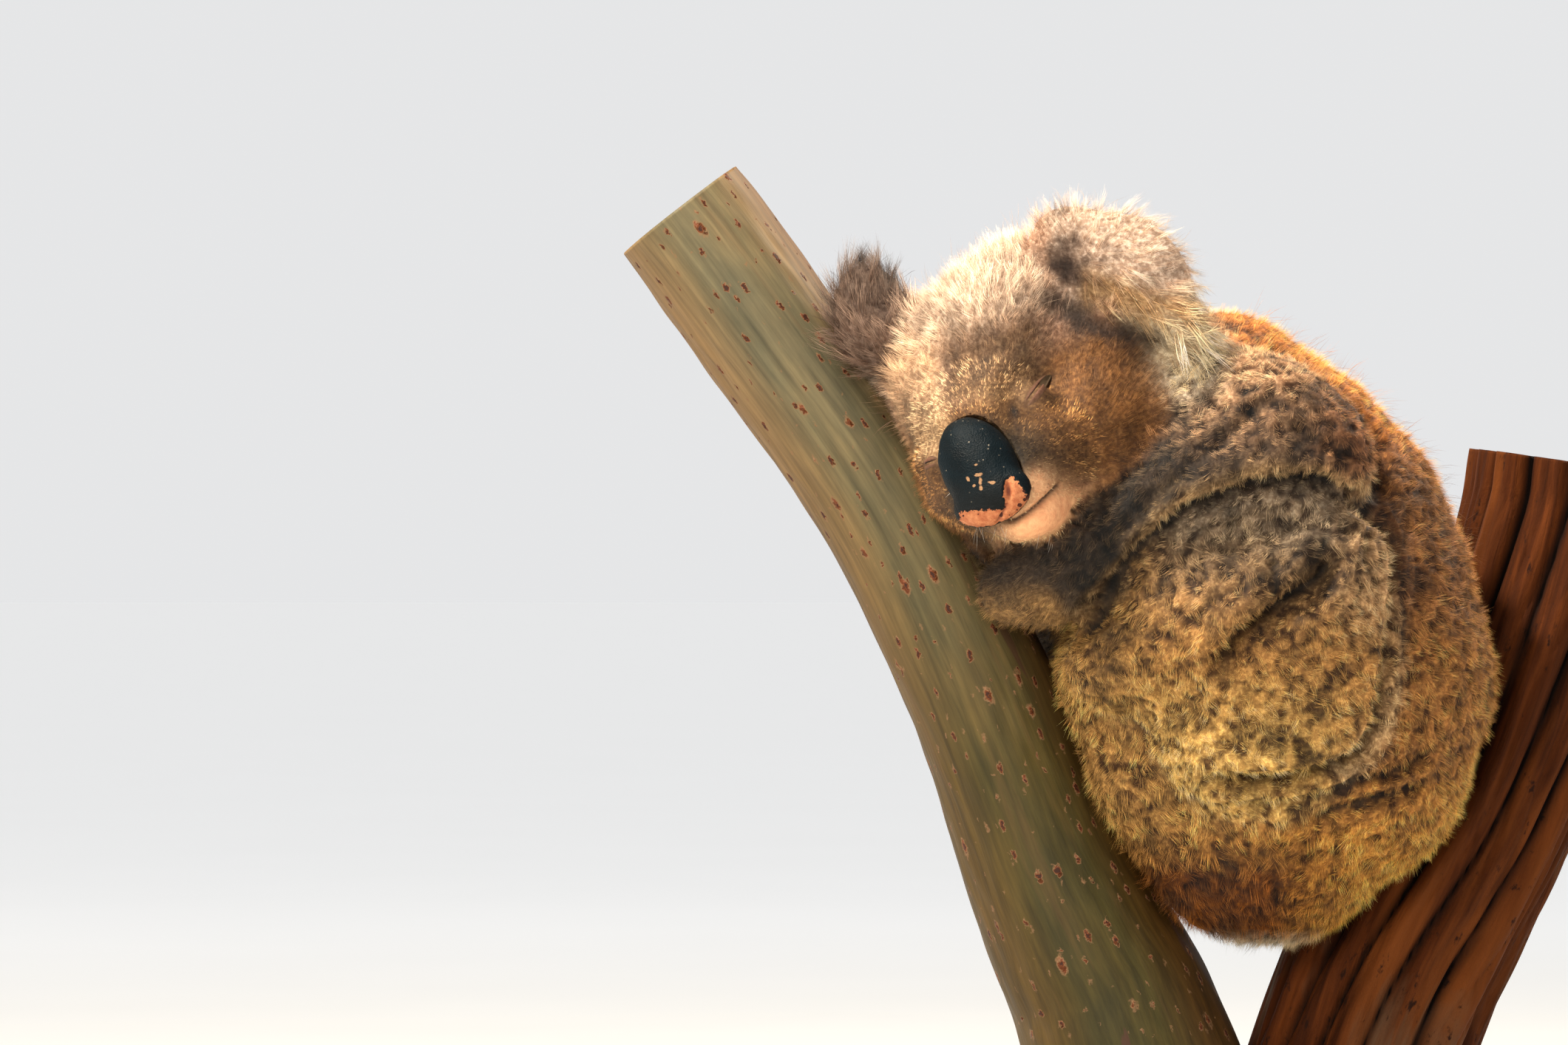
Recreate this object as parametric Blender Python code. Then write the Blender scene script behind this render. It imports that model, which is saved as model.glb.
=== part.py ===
"""A koala asleep in the fork of a gum tree, life size, as a museum shows it.

The animal sits with its rump wedged in the fork and leans its face and chest on the
smooth, pale limb. Each arm and leg is folded, elbow over knee, and reaches the limb.
A short cut length of the fork is kept as its perch, and two rods on a flat base hold it.

Metres, +Z up. The origin is the centre of the base's underside. The animal faces -X, its
left side is towards -Y, and its face is turned towards -Y and rolled onto the limb.
Each piece of flesh is the outline of the coat, out to the tips of the hair.
"""

import bmesh
import bpy
from math import cos, pi, radians, sin
from mathutils import Matrix, Vector

MM = 0.001
GAP = 0.4 * MM              # clear space between two pieces that meet

# ---------------------------------------------------------------- driving dimensions
BASE_SIZE = (0.36, 0.27, 0.018)
BASE_CORNER = 0.03
ROD_RADIUS = 0.011
ROD_SPREAD = 0.042          # half the distance between the two rods
ROD_MIDDLE = (0.020, 0.036)
LOG_FOOT = 0.052            # height of the fork's cut foot above the floor
STEM_SIDES = 20

EYE_MIDDLE = Vector((-124, -84, 476)) * MM     # midway between the two closed eyes
HEAD_ROLL = radians(30)     # the crown leans towards the limb
HEAD_TURN = radians(19)     # the face turns from the near side towards the limb
HEAD_NOD = radians(9)       # the nose drops

FLESH_GRAIN = 4.5 * MM      # voxel of the large masses
FINE_GRAIN = 3.0 * MM       # voxel of the head, hands and feet


# ---------------------------------------------------------------- scene and materials
def clear_scene():
    for leftover in list(bpy.data.objects):
        bpy.data.objects.remove(leftover)


def finish_of(name, colour, roughness, metallic=0.0):
    material = bpy.data.materials.get(name)
    if material is None:
        material = bpy.data.materials.new(name)
        material.use_nodes = True
        shader = material.node_tree.nodes["Principled BSDF"]
        shader.inputs["Base Color"].default_value = (*colour, 1.0)
        shader.inputs["Roughness"].default_value = roughness
        shader.inputs["Metallic"].default_value = metallic
        material.diffuse_color = (*colour, 1.0)
    return material


def coat_finish():
    return finish_of("grey_brown_coat", (0.30, 0.20, 0.12), 0.9)


def nose_finish():
    return finish_of("nose_leather", (0.04, 0.045, 0.05), 0.5)


def claw_finish():
    return finish_of("dark_claw", (0.05, 0.04, 0.03), 0.35)


def pale_bark():
    return finish_of("smooth_pale_bark", (0.40, 0.34, 0.25), 0.7)


def red_bark():
    return finish_of("stringy_red_bark", (0.22, 0.09, 0.05), 0.85)


def stand_finish():
    return finish_of("stand_paint", (0.03, 0.03, 0.03), 0.45)


# ---------------------------------------------------------------- mesh tools
def object_from(name, bm, material):
    mesh = bpy.data.meshes.new(name)
    bm.to_mesh(mesh)
    bm.free()
    obj = bpy.data.objects.new(name, mesh)
    bpy.context.scene.collection.objects.link(obj)
    mesh.materials.append(material)
    return obj


def settle(obj):
    """Replaces the object's mesh by what its modifiers make of it."""
    bpy.context.view_layer.update()
    graph = bpy.context.evaluated_depsgraph_get()
    mesh = bpy.data.meshes.new_from_object(obj.evaluated_get(graph))
    obj.modifiers.clear()
    obj.data = mesh
    return obj


def lump(bm, centre, radii, turn=None):
    """An ellipsoid: one mass of the body, before the masses are fused."""
    place = Matrix.Translation(centre)
    if turn is not None:
        place = place @ turn.to_4x4()
    place = place @ Matrix.Diagonal((*radii, 1.0))
    bmesh.ops.create_icosphere(bm, subdivisions=3, radius=1.0, matrix=place)


def limb_of(bm, stops):
    """Round masses along a line of (point, radius) stops, close enough together to fuse."""
    for (start, r_start), (end, r_end) in zip(stops, stops[1:]):
        count = max(2, int((end - start).length / (0.3 * min(r_start, r_end))))
        for i in range(count + 1):
            share = i / count
            radius = r_start + (r_end - r_start) * share
            lump(bm, start.lerp(end, share), (radius,) * 3)


def fused(name, bm, grain, softening, faces, material):
    """Fuses the masses into one skin, softens the folds between them, and thins its faces."""
    obj = object_from(name, bm, material)
    melt = obj.modifiers.new("melt", "REMESH")
    melt.mode = "VOXEL"
    melt.voxel_size = grain
    soften = obj.modifiers.new("soften", "SMOOTH")
    soften.factor = 0.5
    soften.iterations = softening
    settle(obj)
    count = len(obj.data.polygons) * 2
    thin = obj.modifiers.new("thin", "DECIMATE")
    thin.ratio = min(1.0, faces / count)
    settle(obj)
    return obj


def grown(obj, by=GAP):
    """A copy of the object a little larger all round, to cut its neighbour with."""
    mesh = obj.data.copy()
    copy = bpy.data.objects.new(obj.name + "_cutter", mesh)
    bpy.context.scene.collection.objects.link(copy)
    copy.matrix_world = obj.matrix_world.copy()
    normals = [v.normal.copy() for v in mesh.vertices]
    for vertex, normal in zip(mesh.vertices, normals):
        vertex.co += normal * by
    return copy


def bodies_of(bm):
    """The mesh's separate bodies, as lists of vertices."""
    left = set(bm.verts)
    found = []
    while left:
        body, edge = set(), [left.pop()]
        while edge:
            vertex = edge.pop()
            body.add(vertex)
            for link in vertex.link_edges:
                other = link.other_vert(vertex)
                if other in left:
                    left.remove(other)
                    edge.append(other)
        found.append(list(body))
    return found


def keep_largest(obj):
    """Drops the crumbs that a cut leaves beside the main body."""
    bm = bmesh.new()
    bm.from_mesh(obj.data)
    bodies = sorted(bodies_of(bm), key=len)
    for crumb in bodies[:-1]:
        bmesh.ops.delete(bm, geom=crumb, context="VERTS")
    bm.to_mesh(obj.data)
    bm.free()


def wrapped(obj):
    """The taut wrapping of a paw, whose digits are too close together to be grown one by one."""
    bm = bmesh.new()
    bm.from_mesh(obj.data)
    hull = bmesh.ops.convex_hull(bm, input=bm.verts)
    inner = [e for e in hull["geom_interior"] + hull["geom_unused"] if isinstance(e, bmesh.types.BMVert)]
    bmesh.ops.delete(bm, geom=inner, context="VERTS")
    kept = {f for f in hull["geom"] if isinstance(f, bmesh.types.BMFace) and f.is_valid}
    bmesh.ops.delete(bm, geom=[f for f in bm.faces if f not in kept], context="FACES_ONLY")
    loose = [e for e in bm.edges if not e.link_faces]
    bmesh.ops.delete(bm, geom=loose, context="EDGES")
    bmesh.ops.recalc_face_normals(bm, faces=bm.faces)
    wrapping = object_from(obj.name + "_wrap", bm, coat_finish())
    copy = grown(wrapping)
    bpy.data.objects.remove(wrapping)
    return copy


def make_room(obj, *neighbours, by=GAP):
    """Cuts the object back from each neighbour, so that the two meet face to face."""
    for neighbour in neighbours:
        is_paw = neighbour.name.startswith(("hand_", "foot_"))
        cutter = wrapped(neighbour) if is_paw else grown(neighbour, by)
        cut = obj.modifiers.new("room", "BOOLEAN")
        cut.operation = "DIFFERENCE"
        cut.solver = "EXACT"
        cut.object = cutter
        settle(obj)
        bpy.data.objects.remove(cutter)
        keep_largest(obj)
    return obj


def parted(obj, name, point, normal):
    """Parts the object by a thin cut across it. What lies along the normal becomes `name`."""
    normal = normal.normalized()
    other = bpy.data.objects.new(name, obj.data.copy())
    bpy.context.scene.collection.objects.link(other)
    for piece, side in ((obj, -1), (other, 1)):
        bm = bmesh.new()
        bm.from_mesh(piece.data)
        cut = bmesh.ops.bisect_plane(
            bm,
            geom=list(bm.verts) + list(bm.edges) + list(bm.faces),
            dist=1e-7,
            plane_co=point + normal * (side * GAP / 2),
            plane_no=normal * side,
            clear_inner=True,
        )
        rim = [e for e in cut["geom_cut"] if isinstance(e, bmesh.types.BMEdge)]
        bmesh.ops.holes_fill(bm, edges=rim)
        bmesh.ops.triangulate(bm, faces=bm.faces)
        bmesh.ops.recalc_face_normals(bm, faces=bm.faces)
        bm.to_mesh(piece.data)
        bm.free()
        keep_largest(piece)
    return other


# ---------------------------------------------------------------- frames of reference
HEAD_AXES = (
    Matrix.Rotation(-HEAD_TURN, 3, "Z")
    @ Matrix.Rotation(HEAD_NOD, 3, "X")
    @ Matrix.Rotation(-HEAD_ROLL, 3, "Y")
)


def on_head(forward, left, up):
    """A place on the head, in mm from the middle of the eyes: out of the face, to its left, up."""
    return EYE_MIDDLE + HEAD_AXES @ (Vector((left, -forward, up)) * MM)


def head_lump(bm, forward, left, up, deep, wide, tall, tip=0.0):
    """A mass of the head. `tip` leans its top back, in degrees."""
    turn = HEAD_AXES @ Matrix.Rotation(radians(-tip), 3, "X")
    lump(bm, on_head(forward, left, up), Vector((wide, deep, tall)) * MM, turn)


def at(x, y, z):
    return Vector((x, y, z)) * MM


def smooth_line(stops, steps):
    """Points along a curve through the stops, each stop being (x, y, z, radius) in mm."""
    rows = [Vector(stop) for stop in stops]
    rows = [rows[0] * 2 - rows[1]] + rows + [rows[-1] * 2 - rows[-2]]
    line = []
    for before, start, end, after in zip(rows, rows[1:], rows[2:], rows[3:]):
        for i in range(steps):
            t = i / steps
            bend = (end - before) * t + (before * 2 - start * 5 + end * 4 - after) * t**2
            bend += (start * 3 - end * 3 + after - before) * t**3
            line.append(start + bend / 2)
    return line + [rows[-2]]


PALE_LIMB = (
    (-22, 30, LOG_FOOT / MM, 66),
    (-30, 28, 95, 63),
    (-51, 24, 161, 56),
    (-67, 20, 195, 52),
    (-89, 16, 244, 47),
    (-110, 13, 298, 43.5),
    (-128, 12, 342, 42),
    (-158, 12, 406, 41),
    (-190, 12, 461, 41),
    (-232, 12, 520, 40.5),
    (-272, 12, 575, 40),
    (-289, 12, 597, 39.5),
)
RED_STEM = (
    (62, 42, LOG_FOOT / MM, 60),
    (80, 50, 110, 59),
    (108, 68, 180, 60),
    (150, 96, 260, 60),
    (184, 112, 340, 59),
    (208, 118, 420, 58),
    (214, 118, 458, 57),
)


def limb_at(height):
    """The pale limb's middle, its direction and its radius at a height in mm."""
    line = smooth_line(PALE_LIMB, 8)
    for low, high in zip(line, line[1:]):
        if low.z <= height <= high.z:
            share = (height - low.z) / (high.z - low.z)
            here = low.lerp(high, share)
            return here.xyz * MM, (high.xyz - low.xyz).normalized(), here.w * MM
    raise ValueError("no limb at this height")


def by_limb(height, angle, clear):
    """A place beside the limb: `angle` in degrees from the near side round to the animal's side."""
    middle, along, radius = limb_at(height)
    near = Vector((0, -1, 0))
    near = (near - along * near.dot(along)).normalized()
    inward = along.cross(near) * -1
    if inward.x < 0:
        inward.negate()
    out = near * cos(radians(angle)) + inward * sin(radians(angle))
    return middle + out * (radius + clear * MM)


# ---------------------------------------------------------------- the perch
def stem(name, stops, ridges, depth, material):
    """A length of tree: rings along a curved line, a little out of round, cut flat at its ends."""
    line = smooth_line(stops, 1)
    bm = bmesh.new()
    rings = []
    for i, here in enumerate(line):
        before = line[max(0, i - 1)].xyz
        after = line[min(len(line) - 1, i + 1)].xyz
        along = (after - before).normalized()
        if i == 0:
            along = Vector((0, 0, 1))
        near = Vector((0, -1, 0))
        near = (near - along * near.dot(along)).normalized()
        inward = near.cross(along)
        ring = []
        for k in range(STEM_SIDES):
            angle = 2 * pi * k / STEM_SIDES
            swell = 1 + depth * sin(ridges * angle + 0.35 * i) + 0.6 * depth * cos(2 * angle + 1)
            out = near * cos(angle) + inward * sin(angle)
            ring.append(bm.verts.new((here.xyz + out * here.w * swell) * MM))
        rings.append(ring)
    for low, high in zip(rings, rings[1:]):
        for k in range(STEM_SIDES):
            other = (k + 1) % STEM_SIDES
            bm.faces.new((low[k], low[other], high[other], high[k]))
    bm.faces.new(rings[0])
    bm.faces.new(rings[-1])
    bmesh.ops.triangulate(bm, faces=bm.faces)
    bmesh.ops.recalc_face_normals(bm, faces=bm.faces)
    return object_from(name, bm, material)


# ---------------------------------------------------------------- the head
def make_nose():
    bm = bmesh.new()
    head_lump(bm, 41, 1, -19, 16, 19.5, 30, tip=20)
    head_lump(bm, 49, 1, -35, 12, 21.5, 14, tip=10)
    return fused("nose", bm, 1.8 * MM, 4, 200, nose_finish())


def make_lid(name, side):
    bm = bmesh.new()
    head_lump(bm, 2, side * 36, 1, 9, 12, 6.5, tip=12)
    return fused(name, bm, 1.6 * MM, 2, 70, coat_finish())


def make_left_ear():
    """The free ear: a round cup of skin, thickly fringed, opening forward and down."""
    bm = bmesh.new()
    head_lump(bm, -50, 88, 34, 22, 44, 42)
    head_lump(bm, -52, 106, 26, 19, 30, 44)
    head_lump(bm, -50, 82, 60, 19, 30, 26)
    head_lump(bm, -48, 108, -2, 16, 20, 26)
    ear = fused("ear_left", bm, 3 * MM, 4, 250, coat_finish())
    bm = bmesh.new()
    head_lump(bm, -22, 82, 22, 14, 17, 16)
    cup = fused("cup", bm, 2.5 * MM, 2, 90, coat_finish())
    make_room(ear, cup)
    bpy.data.objects.remove(cup)
    return ear


def make_right_ear():
    """The ear on the limb's side: folded up between the head and the bark."""
    bm = bmesh.new()
    for spot, radii in (
        (at(-186, -26, 544), at(22, 22, 25)),
        (at(-176, -30, 528), at(24, 24, 26)),
        (at(-192, -24, 528), at(16, 20, 18)),
    ):
        lump(bm, spot, radii)
    return fused("ear_right", bm, 3 * MM, 4, 140, coat_finish())


def make_head():
    bm = bmesh.new()
    head_lump(bm, -50, 4, 26, 53, 61, 53)
    head_lump(bm, -46, 16, 48, 47, 50, 41)
    head_lump(bm, -18, 2, 16, 30, 46, 36)
    head_lump(bm, -2, 2, 2, 34, 34, 30, tip=18)
    head_lump(bm, 16, 1, -12, 31, 23, 26, tip=22)
    head_lump(bm, 16, 0, -36, 34, 33, 25)
    head_lump(bm, 16, 3, -56, 29, 22, 14)
    head_lump(bm, -6, 20, -26, 38, 34, 34)
    head_lump(bm, -6, -18, -24, 36, 30, 34)
    head_lump(bm, -28, 38, -28, 38, 40, 38)
    head_lump(bm, -52, 56, -28, 38, 38, 40)
    head_lump(bm, -52, 62, 4, 34, 36, 34)
    head_lump(bm, -26, -32, -26, 34, 27, 34)
    head_lump(bm, -50, -38, -20, 40, 30, 42)
    head_lump(bm, -40, 4, -44, 46, 50, 30)
    return fused("head", bm, FINE_GRAIN, 10, 940, coat_finish())


# ---------------------------------------------------------------- the body
def make_trunk():
    bm = bmesh.new()
    for spot, radii in (
        (at(-36, 4, 484), at(48, 56, 50)),
        (at(6, 8, 481), at(66, 72, 68)),
        (at(32, 10, 450), at(82, 82, 77)),
        (at(58, 10, 418), at(84, 88, 80)),
        (at(68, 10, 382), at(87, 90, 84)),
        (at(76, 10, 340), at(90, 93, 88)),
        (at(64, 8, 294), at(88, 94, 78)),
        (at(34, 6, 256), at(72, 84, 70)),
        (at(-14, 2, 302), at(56, 74, 60)),
        (at(-28, 2, 346), at(56, 66, 56)),
        (at(-22, 4, 392), at(56, 66, 60)),
        (at(-4, 0, 242), at(36, 56, 46)),
    ):
        lump(bm, spot, radii)
    return fused("trunk", bm, FLESH_GRAIN, 12, 600, coat_finish())


def digit(bm, stops, radius):
    limb_of(bm, [(stop, radius * MM * (1 - 0.1 * i)) for i, stop in enumerate(stops)])


def make_claw(name, root, towards, onto, length, radius):
    """A curved spike from `root`, heading `towards` and bending `onto` the bark."""
    heading = towards.normalized()
    bend = (onto - heading * onto.dot(heading)).normalized()
    bm = bmesh.new()
    rings = []
    for i in range(3):
        t = i / 3
        angle = t * radians(70)
        middle = root + (heading * sin(angle) + bend * (1 - cos(angle))) * (length * MM / 1.22)
        thick = bend * cos(angle) - heading * sin(angle)
        wide = heading.cross(bend)
        size = radius * MM * (1 - t) ** 0.8
        ring = [
            bm.verts.new(middle + (thick * cos(a) * 1.3 + wide * sin(a)) * size)
            for a in (2 * pi * k / 6 for k in range(6))
        ]
        rings.append(ring)
    angle = radians(70)
    tip = bm.verts.new(root + (heading * sin(angle) + bend * (1 - cos(angle))) * (length * MM / 1.22))
    for low, high in zip(rings, rings[1:]):
        for k in range(6):
            bm.faces.new((low[k], low[(k + 1) % 6], high[(k + 1) % 6], high[k]))
    for k in range(6):
        bm.faces.new((rings[-1][k], rings[-1][(k + 1) % 6], tip))
    bm.faces.new(rings[0])
    bmesh.ops.triangulate(bm, faces=bm.faces)
    bmesh.ops.recalc_face_normals(bm, faces=bm.faces)
    return object_from(name, bm, claw_finish())


def grip(bm, paw, fingers, radius, claw_length):
    """Digits bent round the limb. Each is (name, height, first angle, last angle, rise)."""
    claws = []
    for label, height, first, last, rise in fingers:
        stops = []
        for i in range(5):
            share = i / 4
            angle = first + (last - first) * share
            stops.append(by_limb(height + rise * share, angle, radius + 2.5))
        digit(bm, stops, radius)
        if label is None:
            continue
        heading = stops[-1] - stops[-2]
        middle, _, _ = limb_at(height + rise)
        root = stops[-1] + heading.normalized() * (radius * 0.25 * MM)
        onto = middle - root
        claws.append(
            make_claw(f"claw_{paw}_{label}", root, heading, onto, claw_length, 3.0)
        )
    return claws


def make_left_arm():
    """The near arm: the elbow drawn back over the knee, the paw tucked in against the limb."""
    bm = bmesh.new()
    limb_of(bm, ((at(0, -52, 486), 0.042), (at(30, -70, 480), 0.042), (at(54, -80, 464), 0.038)))
    limb_of(bm, ((at(54, -80, 464), 0.037), (at(-8, -86, 446), 0.034), (at(-62, -76, 413), 0.031)))
    limb_of(bm, ((at(-62, -76, 413), 0.031), (at(-94, -62, 393), 0.027), (at(-108, -50, 388), 0.022)))
    fingers = (
        ("1", 402, 30, 74, -4),
        ("2", 395, 34, 82, -6),
        ("3", 386, 40, 88, -8),
        ("4", 377, 44, 90, -8),
        ("5", 369, 46, 86, -6),
    )
    claws = grip(bm, "hand_left", fingers, 6.0, 15)
    arm = fused("upper_arm_left", bm, FINE_GRAIN, 4, 500, coat_finish())
    forearm = parted(arm, "forearm_left", at(50, -76, 462), at(-0.42, -0.3, -0.86))
    hand = parted(forearm, "hand_left", at(-84, -64, 402), at(-0.85, 0.3, -0.35))
    return [arm, forearm, hand], claws


def make_right_arm():
    """The far arm reaches round the back of the limb."""
    bm = bmesh.new()
    limb_of(bm, ((at(0, 62, 486), 0.042), (at(30, 80, 474), 0.042), (at(48, 92, 452), 0.037)))
    limb_of(bm, ((at(48, 92, 452), 0.036), (at(-20, 100, 432), 0.033), (at(-84, 88, 414), 0.029)))
    limb_of(bm, ((at(-84, 88, 414), 0.029), (at(-122, 78, 410), 0.024), (at(-150, 70, 410), 0.017)))
    fingers = (
        ("1", 428, 158, 204, 4),
        ("2", 419, 162, 212, 3),
        ("3", 409, 164, 218, 0),
        ("4", 400, 164, 216, -3),
        ("5", 391, 160, 208, -5),
    )
    claws = grip(bm, "hand_right", fingers, 6.0, 15)
    arm = fused("upper_arm_right", bm, FINE_GRAIN, 4, 440, coat_finish())
    forearm = parted(arm, "forearm_right", at(40, 88, 450), at(-0.45, 0.2, -0.87))
    hand = parted(forearm, "hand_right", at(-108, 80, 412), at(-1, -0.1, 0))
    return [arm, forearm, hand], claws


def make_left_leg():
    """The near leg: the knee drawn up beside the elbow, the shank lying along the thigh."""
    bm = bmesh.new()
    lump(bm, at(30, -60, 314), at(70, 48, 54))
    lump(bm, at(54, -66, 350), at(46, 48, 54))
    limb_of(bm, ((at(60, -68, 340), 0.042), (at(58, -78, 396), 0.040)))
    limb_of(bm, ((at(58, -78, 402), 0.041), (at(4, -84, 378), 0.042), (at(-36, -68, 357), 0.036)))
    limb_of(bm, ((at(-36, -68, 357), 0.036), (at(-60, -42, 345), 0.027), (at(-72, -14, 338), 0.019)))
    fingers = (
        ("2", 352, 88, 138, 6),
        ("3", 343, 90, 142, 4),
        ("4", 334, 92, 146, 0),
        ("5", 325, 90, 140, -5),
        (None, 322, 62, 88, -16),
    )
    claws = grip(bm, "foot_left", fingers, 6.5, 15)
    leg = fused("thigh_left", bm, FINE_GRAIN, 5, 500, coat_finish())
    shank = parted(leg, "shank_left", at(35, -60, 368), at(-0.62, 0, 0.78))
    foot = parted(shank, "foot_left", at(-56, -42, 350), at(-0.45, 0.85, -0.2))
    return [leg, shank, foot], claws


def make_right_leg():
    bm = bmesh.new()
    lump(bm, at(40, 74, 310), at(56, 46, 50))
    limb_of(bm, ((at(54, 84, 336), 0.043), (at(54, 92, 388), 0.039)))
    limb_of(bm, ((at(54, 92, 392), 0.039), (at(4, 98, 364), 0.037), (at(-38, 86, 324), 0.031)))
    limb_of(bm, ((at(-38, 86, 324), 0.031), (at(-58, 76, 300), 0.023), (at(-72, 68, 290), 0.018)))
    fingers = (
        ("2", 304, 142, 190, 4),
        ("3", 295, 144, 194, 2),
        ("4", 286, 144, 196, -2),
        ("5", 277, 142, 190, -6),
        (None, 274, 118, 150, -16),
    )
    claws = grip(bm, "foot_right", fingers, 6.5, 15)
    leg = fused("thigh_right", bm, FINE_GRAIN, 5, 440, coat_finish())
    shank = parted(leg, "shank_right", at(35, 80, 358), at(-0.66, 0, 0.75))
    foot = parted(shank, "foot_right", at(-50, 78, 310), at(-0.75, -0.4, -0.5))
    return [leg, shank, foot], claws


# ---------------------------------------------------------------- the stand
def make_base():
    bm = bmesh.new()
    bmesh.ops.create_cube(bm, size=1.0)
    bmesh.ops.scale(bm, vec=BASE_SIZE, verts=bm.verts)
    bmesh.ops.translate(bm, vec=(0, 0, BASE_SIZE[2] / 2), verts=bm.verts)
    upright = [
        e for e in bm.edges
        if abs(e.verts[0].co.z - e.verts[1].co.z) > BASE_SIZE[2] / 2
    ]
    bmesh.ops.bevel(bm, geom=upright, offset=BASE_CORNER, segments=5, affect="EDGES", profile=0.5)
    bmesh.ops.triangulate(bm, faces=bm.faces)
    return object_from("stand_base", bm, stand_finish())


def make_rod(name, x, y):
    low = BASE_SIZE[2] + GAP
    high = LOG_FOOT - GAP
    bm = bmesh.new()
    bmesh.ops.create_cone(
        bm,
        cap_ends=True,
        cap_tris=True,
        segments=20,
        radius1=ROD_RADIUS,
        radius2=ROD_RADIUS,
        depth=high - low,
        matrix=Matrix.Translation((x, y, (low + high) / 2)),
    )
    return object_from(name, bm, stand_finish())


def build():
    clear_scene()
    limb = stem("perch_limb", PALE_LIMB, 3, 0.012, pale_bark())
    trunk_wood = stem("perch_trunk", RED_STEM, 7, 0.03, red_bark())
    make_room(trunk_wood, limb)

    nose = make_nose()
    lids = [make_lid("lid_left", 1), make_lid("lid_right", -1)]
    head = make_head()
    ears = [make_left_ear(), make_right_ear()]
    trunk = make_trunk()
    arms = [make_left_arm(), make_right_arm()]
    legs = [make_left_leg(), make_right_leg()]

    make_room(trunk, limb, trunk_wood)
    make_room(nose, limb)
    for lid in lids:
        make_room(lid, limb, nose)
    make_room(head, limb, trunk, nose, *lids)
    for ear in ears:
        make_room(ear, limb, trunk, head)
    done = [trunk, head, *ears, nose]
    for pieces, claws in arms + legs:
        for claw in claws:
            make_room(claw, limb)
        for piece in pieces:
            make_room(piece, limb, trunk_wood, *claws, *done)
        done = done + pieces

    make_base()
    make_rod("stand_rod_left", -ROD_SPREAD + ROD_MIDDLE[0], ROD_MIDDLE[1])
    make_rod("stand_rod_right", ROD_SPREAD + ROD_MIDDLE[0], ROD_MIDDLE[1])


build()
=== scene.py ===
"""A sleeping koala in the fork of a gum tree, as a museum shows it: the looks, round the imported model."""

from math import cos, exp, pi, radians, sin

import bmesh
import bpy
import numpy as np
from mathutils import Matrix, Vector, noise
from mathutils.bvhtree import BVHTree


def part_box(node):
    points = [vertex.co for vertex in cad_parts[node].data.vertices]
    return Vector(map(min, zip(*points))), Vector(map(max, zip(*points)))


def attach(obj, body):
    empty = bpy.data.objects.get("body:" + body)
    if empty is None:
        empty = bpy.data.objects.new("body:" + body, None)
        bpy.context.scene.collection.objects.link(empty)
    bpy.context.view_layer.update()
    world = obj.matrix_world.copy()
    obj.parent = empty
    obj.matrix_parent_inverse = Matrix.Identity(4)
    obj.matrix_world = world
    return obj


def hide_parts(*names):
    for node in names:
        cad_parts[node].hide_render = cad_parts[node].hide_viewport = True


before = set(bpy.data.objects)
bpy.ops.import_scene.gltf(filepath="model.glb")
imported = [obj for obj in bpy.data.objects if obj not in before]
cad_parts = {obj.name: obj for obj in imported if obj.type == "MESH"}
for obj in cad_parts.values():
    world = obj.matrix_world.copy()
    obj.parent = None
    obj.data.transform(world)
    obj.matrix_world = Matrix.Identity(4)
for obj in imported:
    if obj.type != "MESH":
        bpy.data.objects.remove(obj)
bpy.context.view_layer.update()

# ------------------------ the studio
# A pale floor that fades into a pale room, a warm key high over the head, a rim light behind
# the back, a low fill, and a long lens at the height of the animal's chest.
VIEW_MIDDLE = Vector((-0.2318, -0.06, 0.4252))
VIEW_WIDTH = 0.8484
VIEW_DISTANCE = 4.5
LIT_SPOT = (-0.05, 0, 0.42)
ROOM_WHITE = (0.985, 0.99, 1.0)
HORIZON, DOME = 0.8, 0.4


def add(name, data):
    """A new object in the scene."""
    obj = bpy.data.objects.new(name, data)
    bpy.context.scene.collection.objects.link(obj)
    return obj


def look_at(obj, target):
    obj.rotation_euler = (Vector(target) - obj.location).to_track_quat("-Z", "Y").to_euler()


lens = bpy.data.cameras.new("long_lens")
lens.sensor_width = 36
lens.lens = lens.sensor_width * VIEW_DISTANCE / VIEW_WIDTH
lens.clip_end = 100
camera = add("camera", lens)
camera.location = VIEW_MIDDLE + Vector((0, -VIEW_DISTANCE, 0))
look_at(camera, VIEW_MIDDLE)
bpy.context.scene.camera = camera

for name, place, size, power, colour in (
    ("key_light", (-1.15, -0.6, 2.35), 0.22, 118, (1.0, 0.92, 0.78)),
    ("back_light", (1.2, 1.1, 1.9), 0.5, 62, (1.0, 0.86, 0.66)),
    ("fill_light", (-0.9, -2.7, 1.2), 0.9, 44, (1.0, 0.9, 0.74)),
):
    lamp = bpy.data.lights.new(name, "AREA")
    lamp.shape = "DISK"
    lamp.size = size
    lamp.energy = power
    lamp.color = colour
    soft_light = add(name, lamp)
    soft_light.location = place
    look_at(soft_light, LIT_SPOT)


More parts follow.
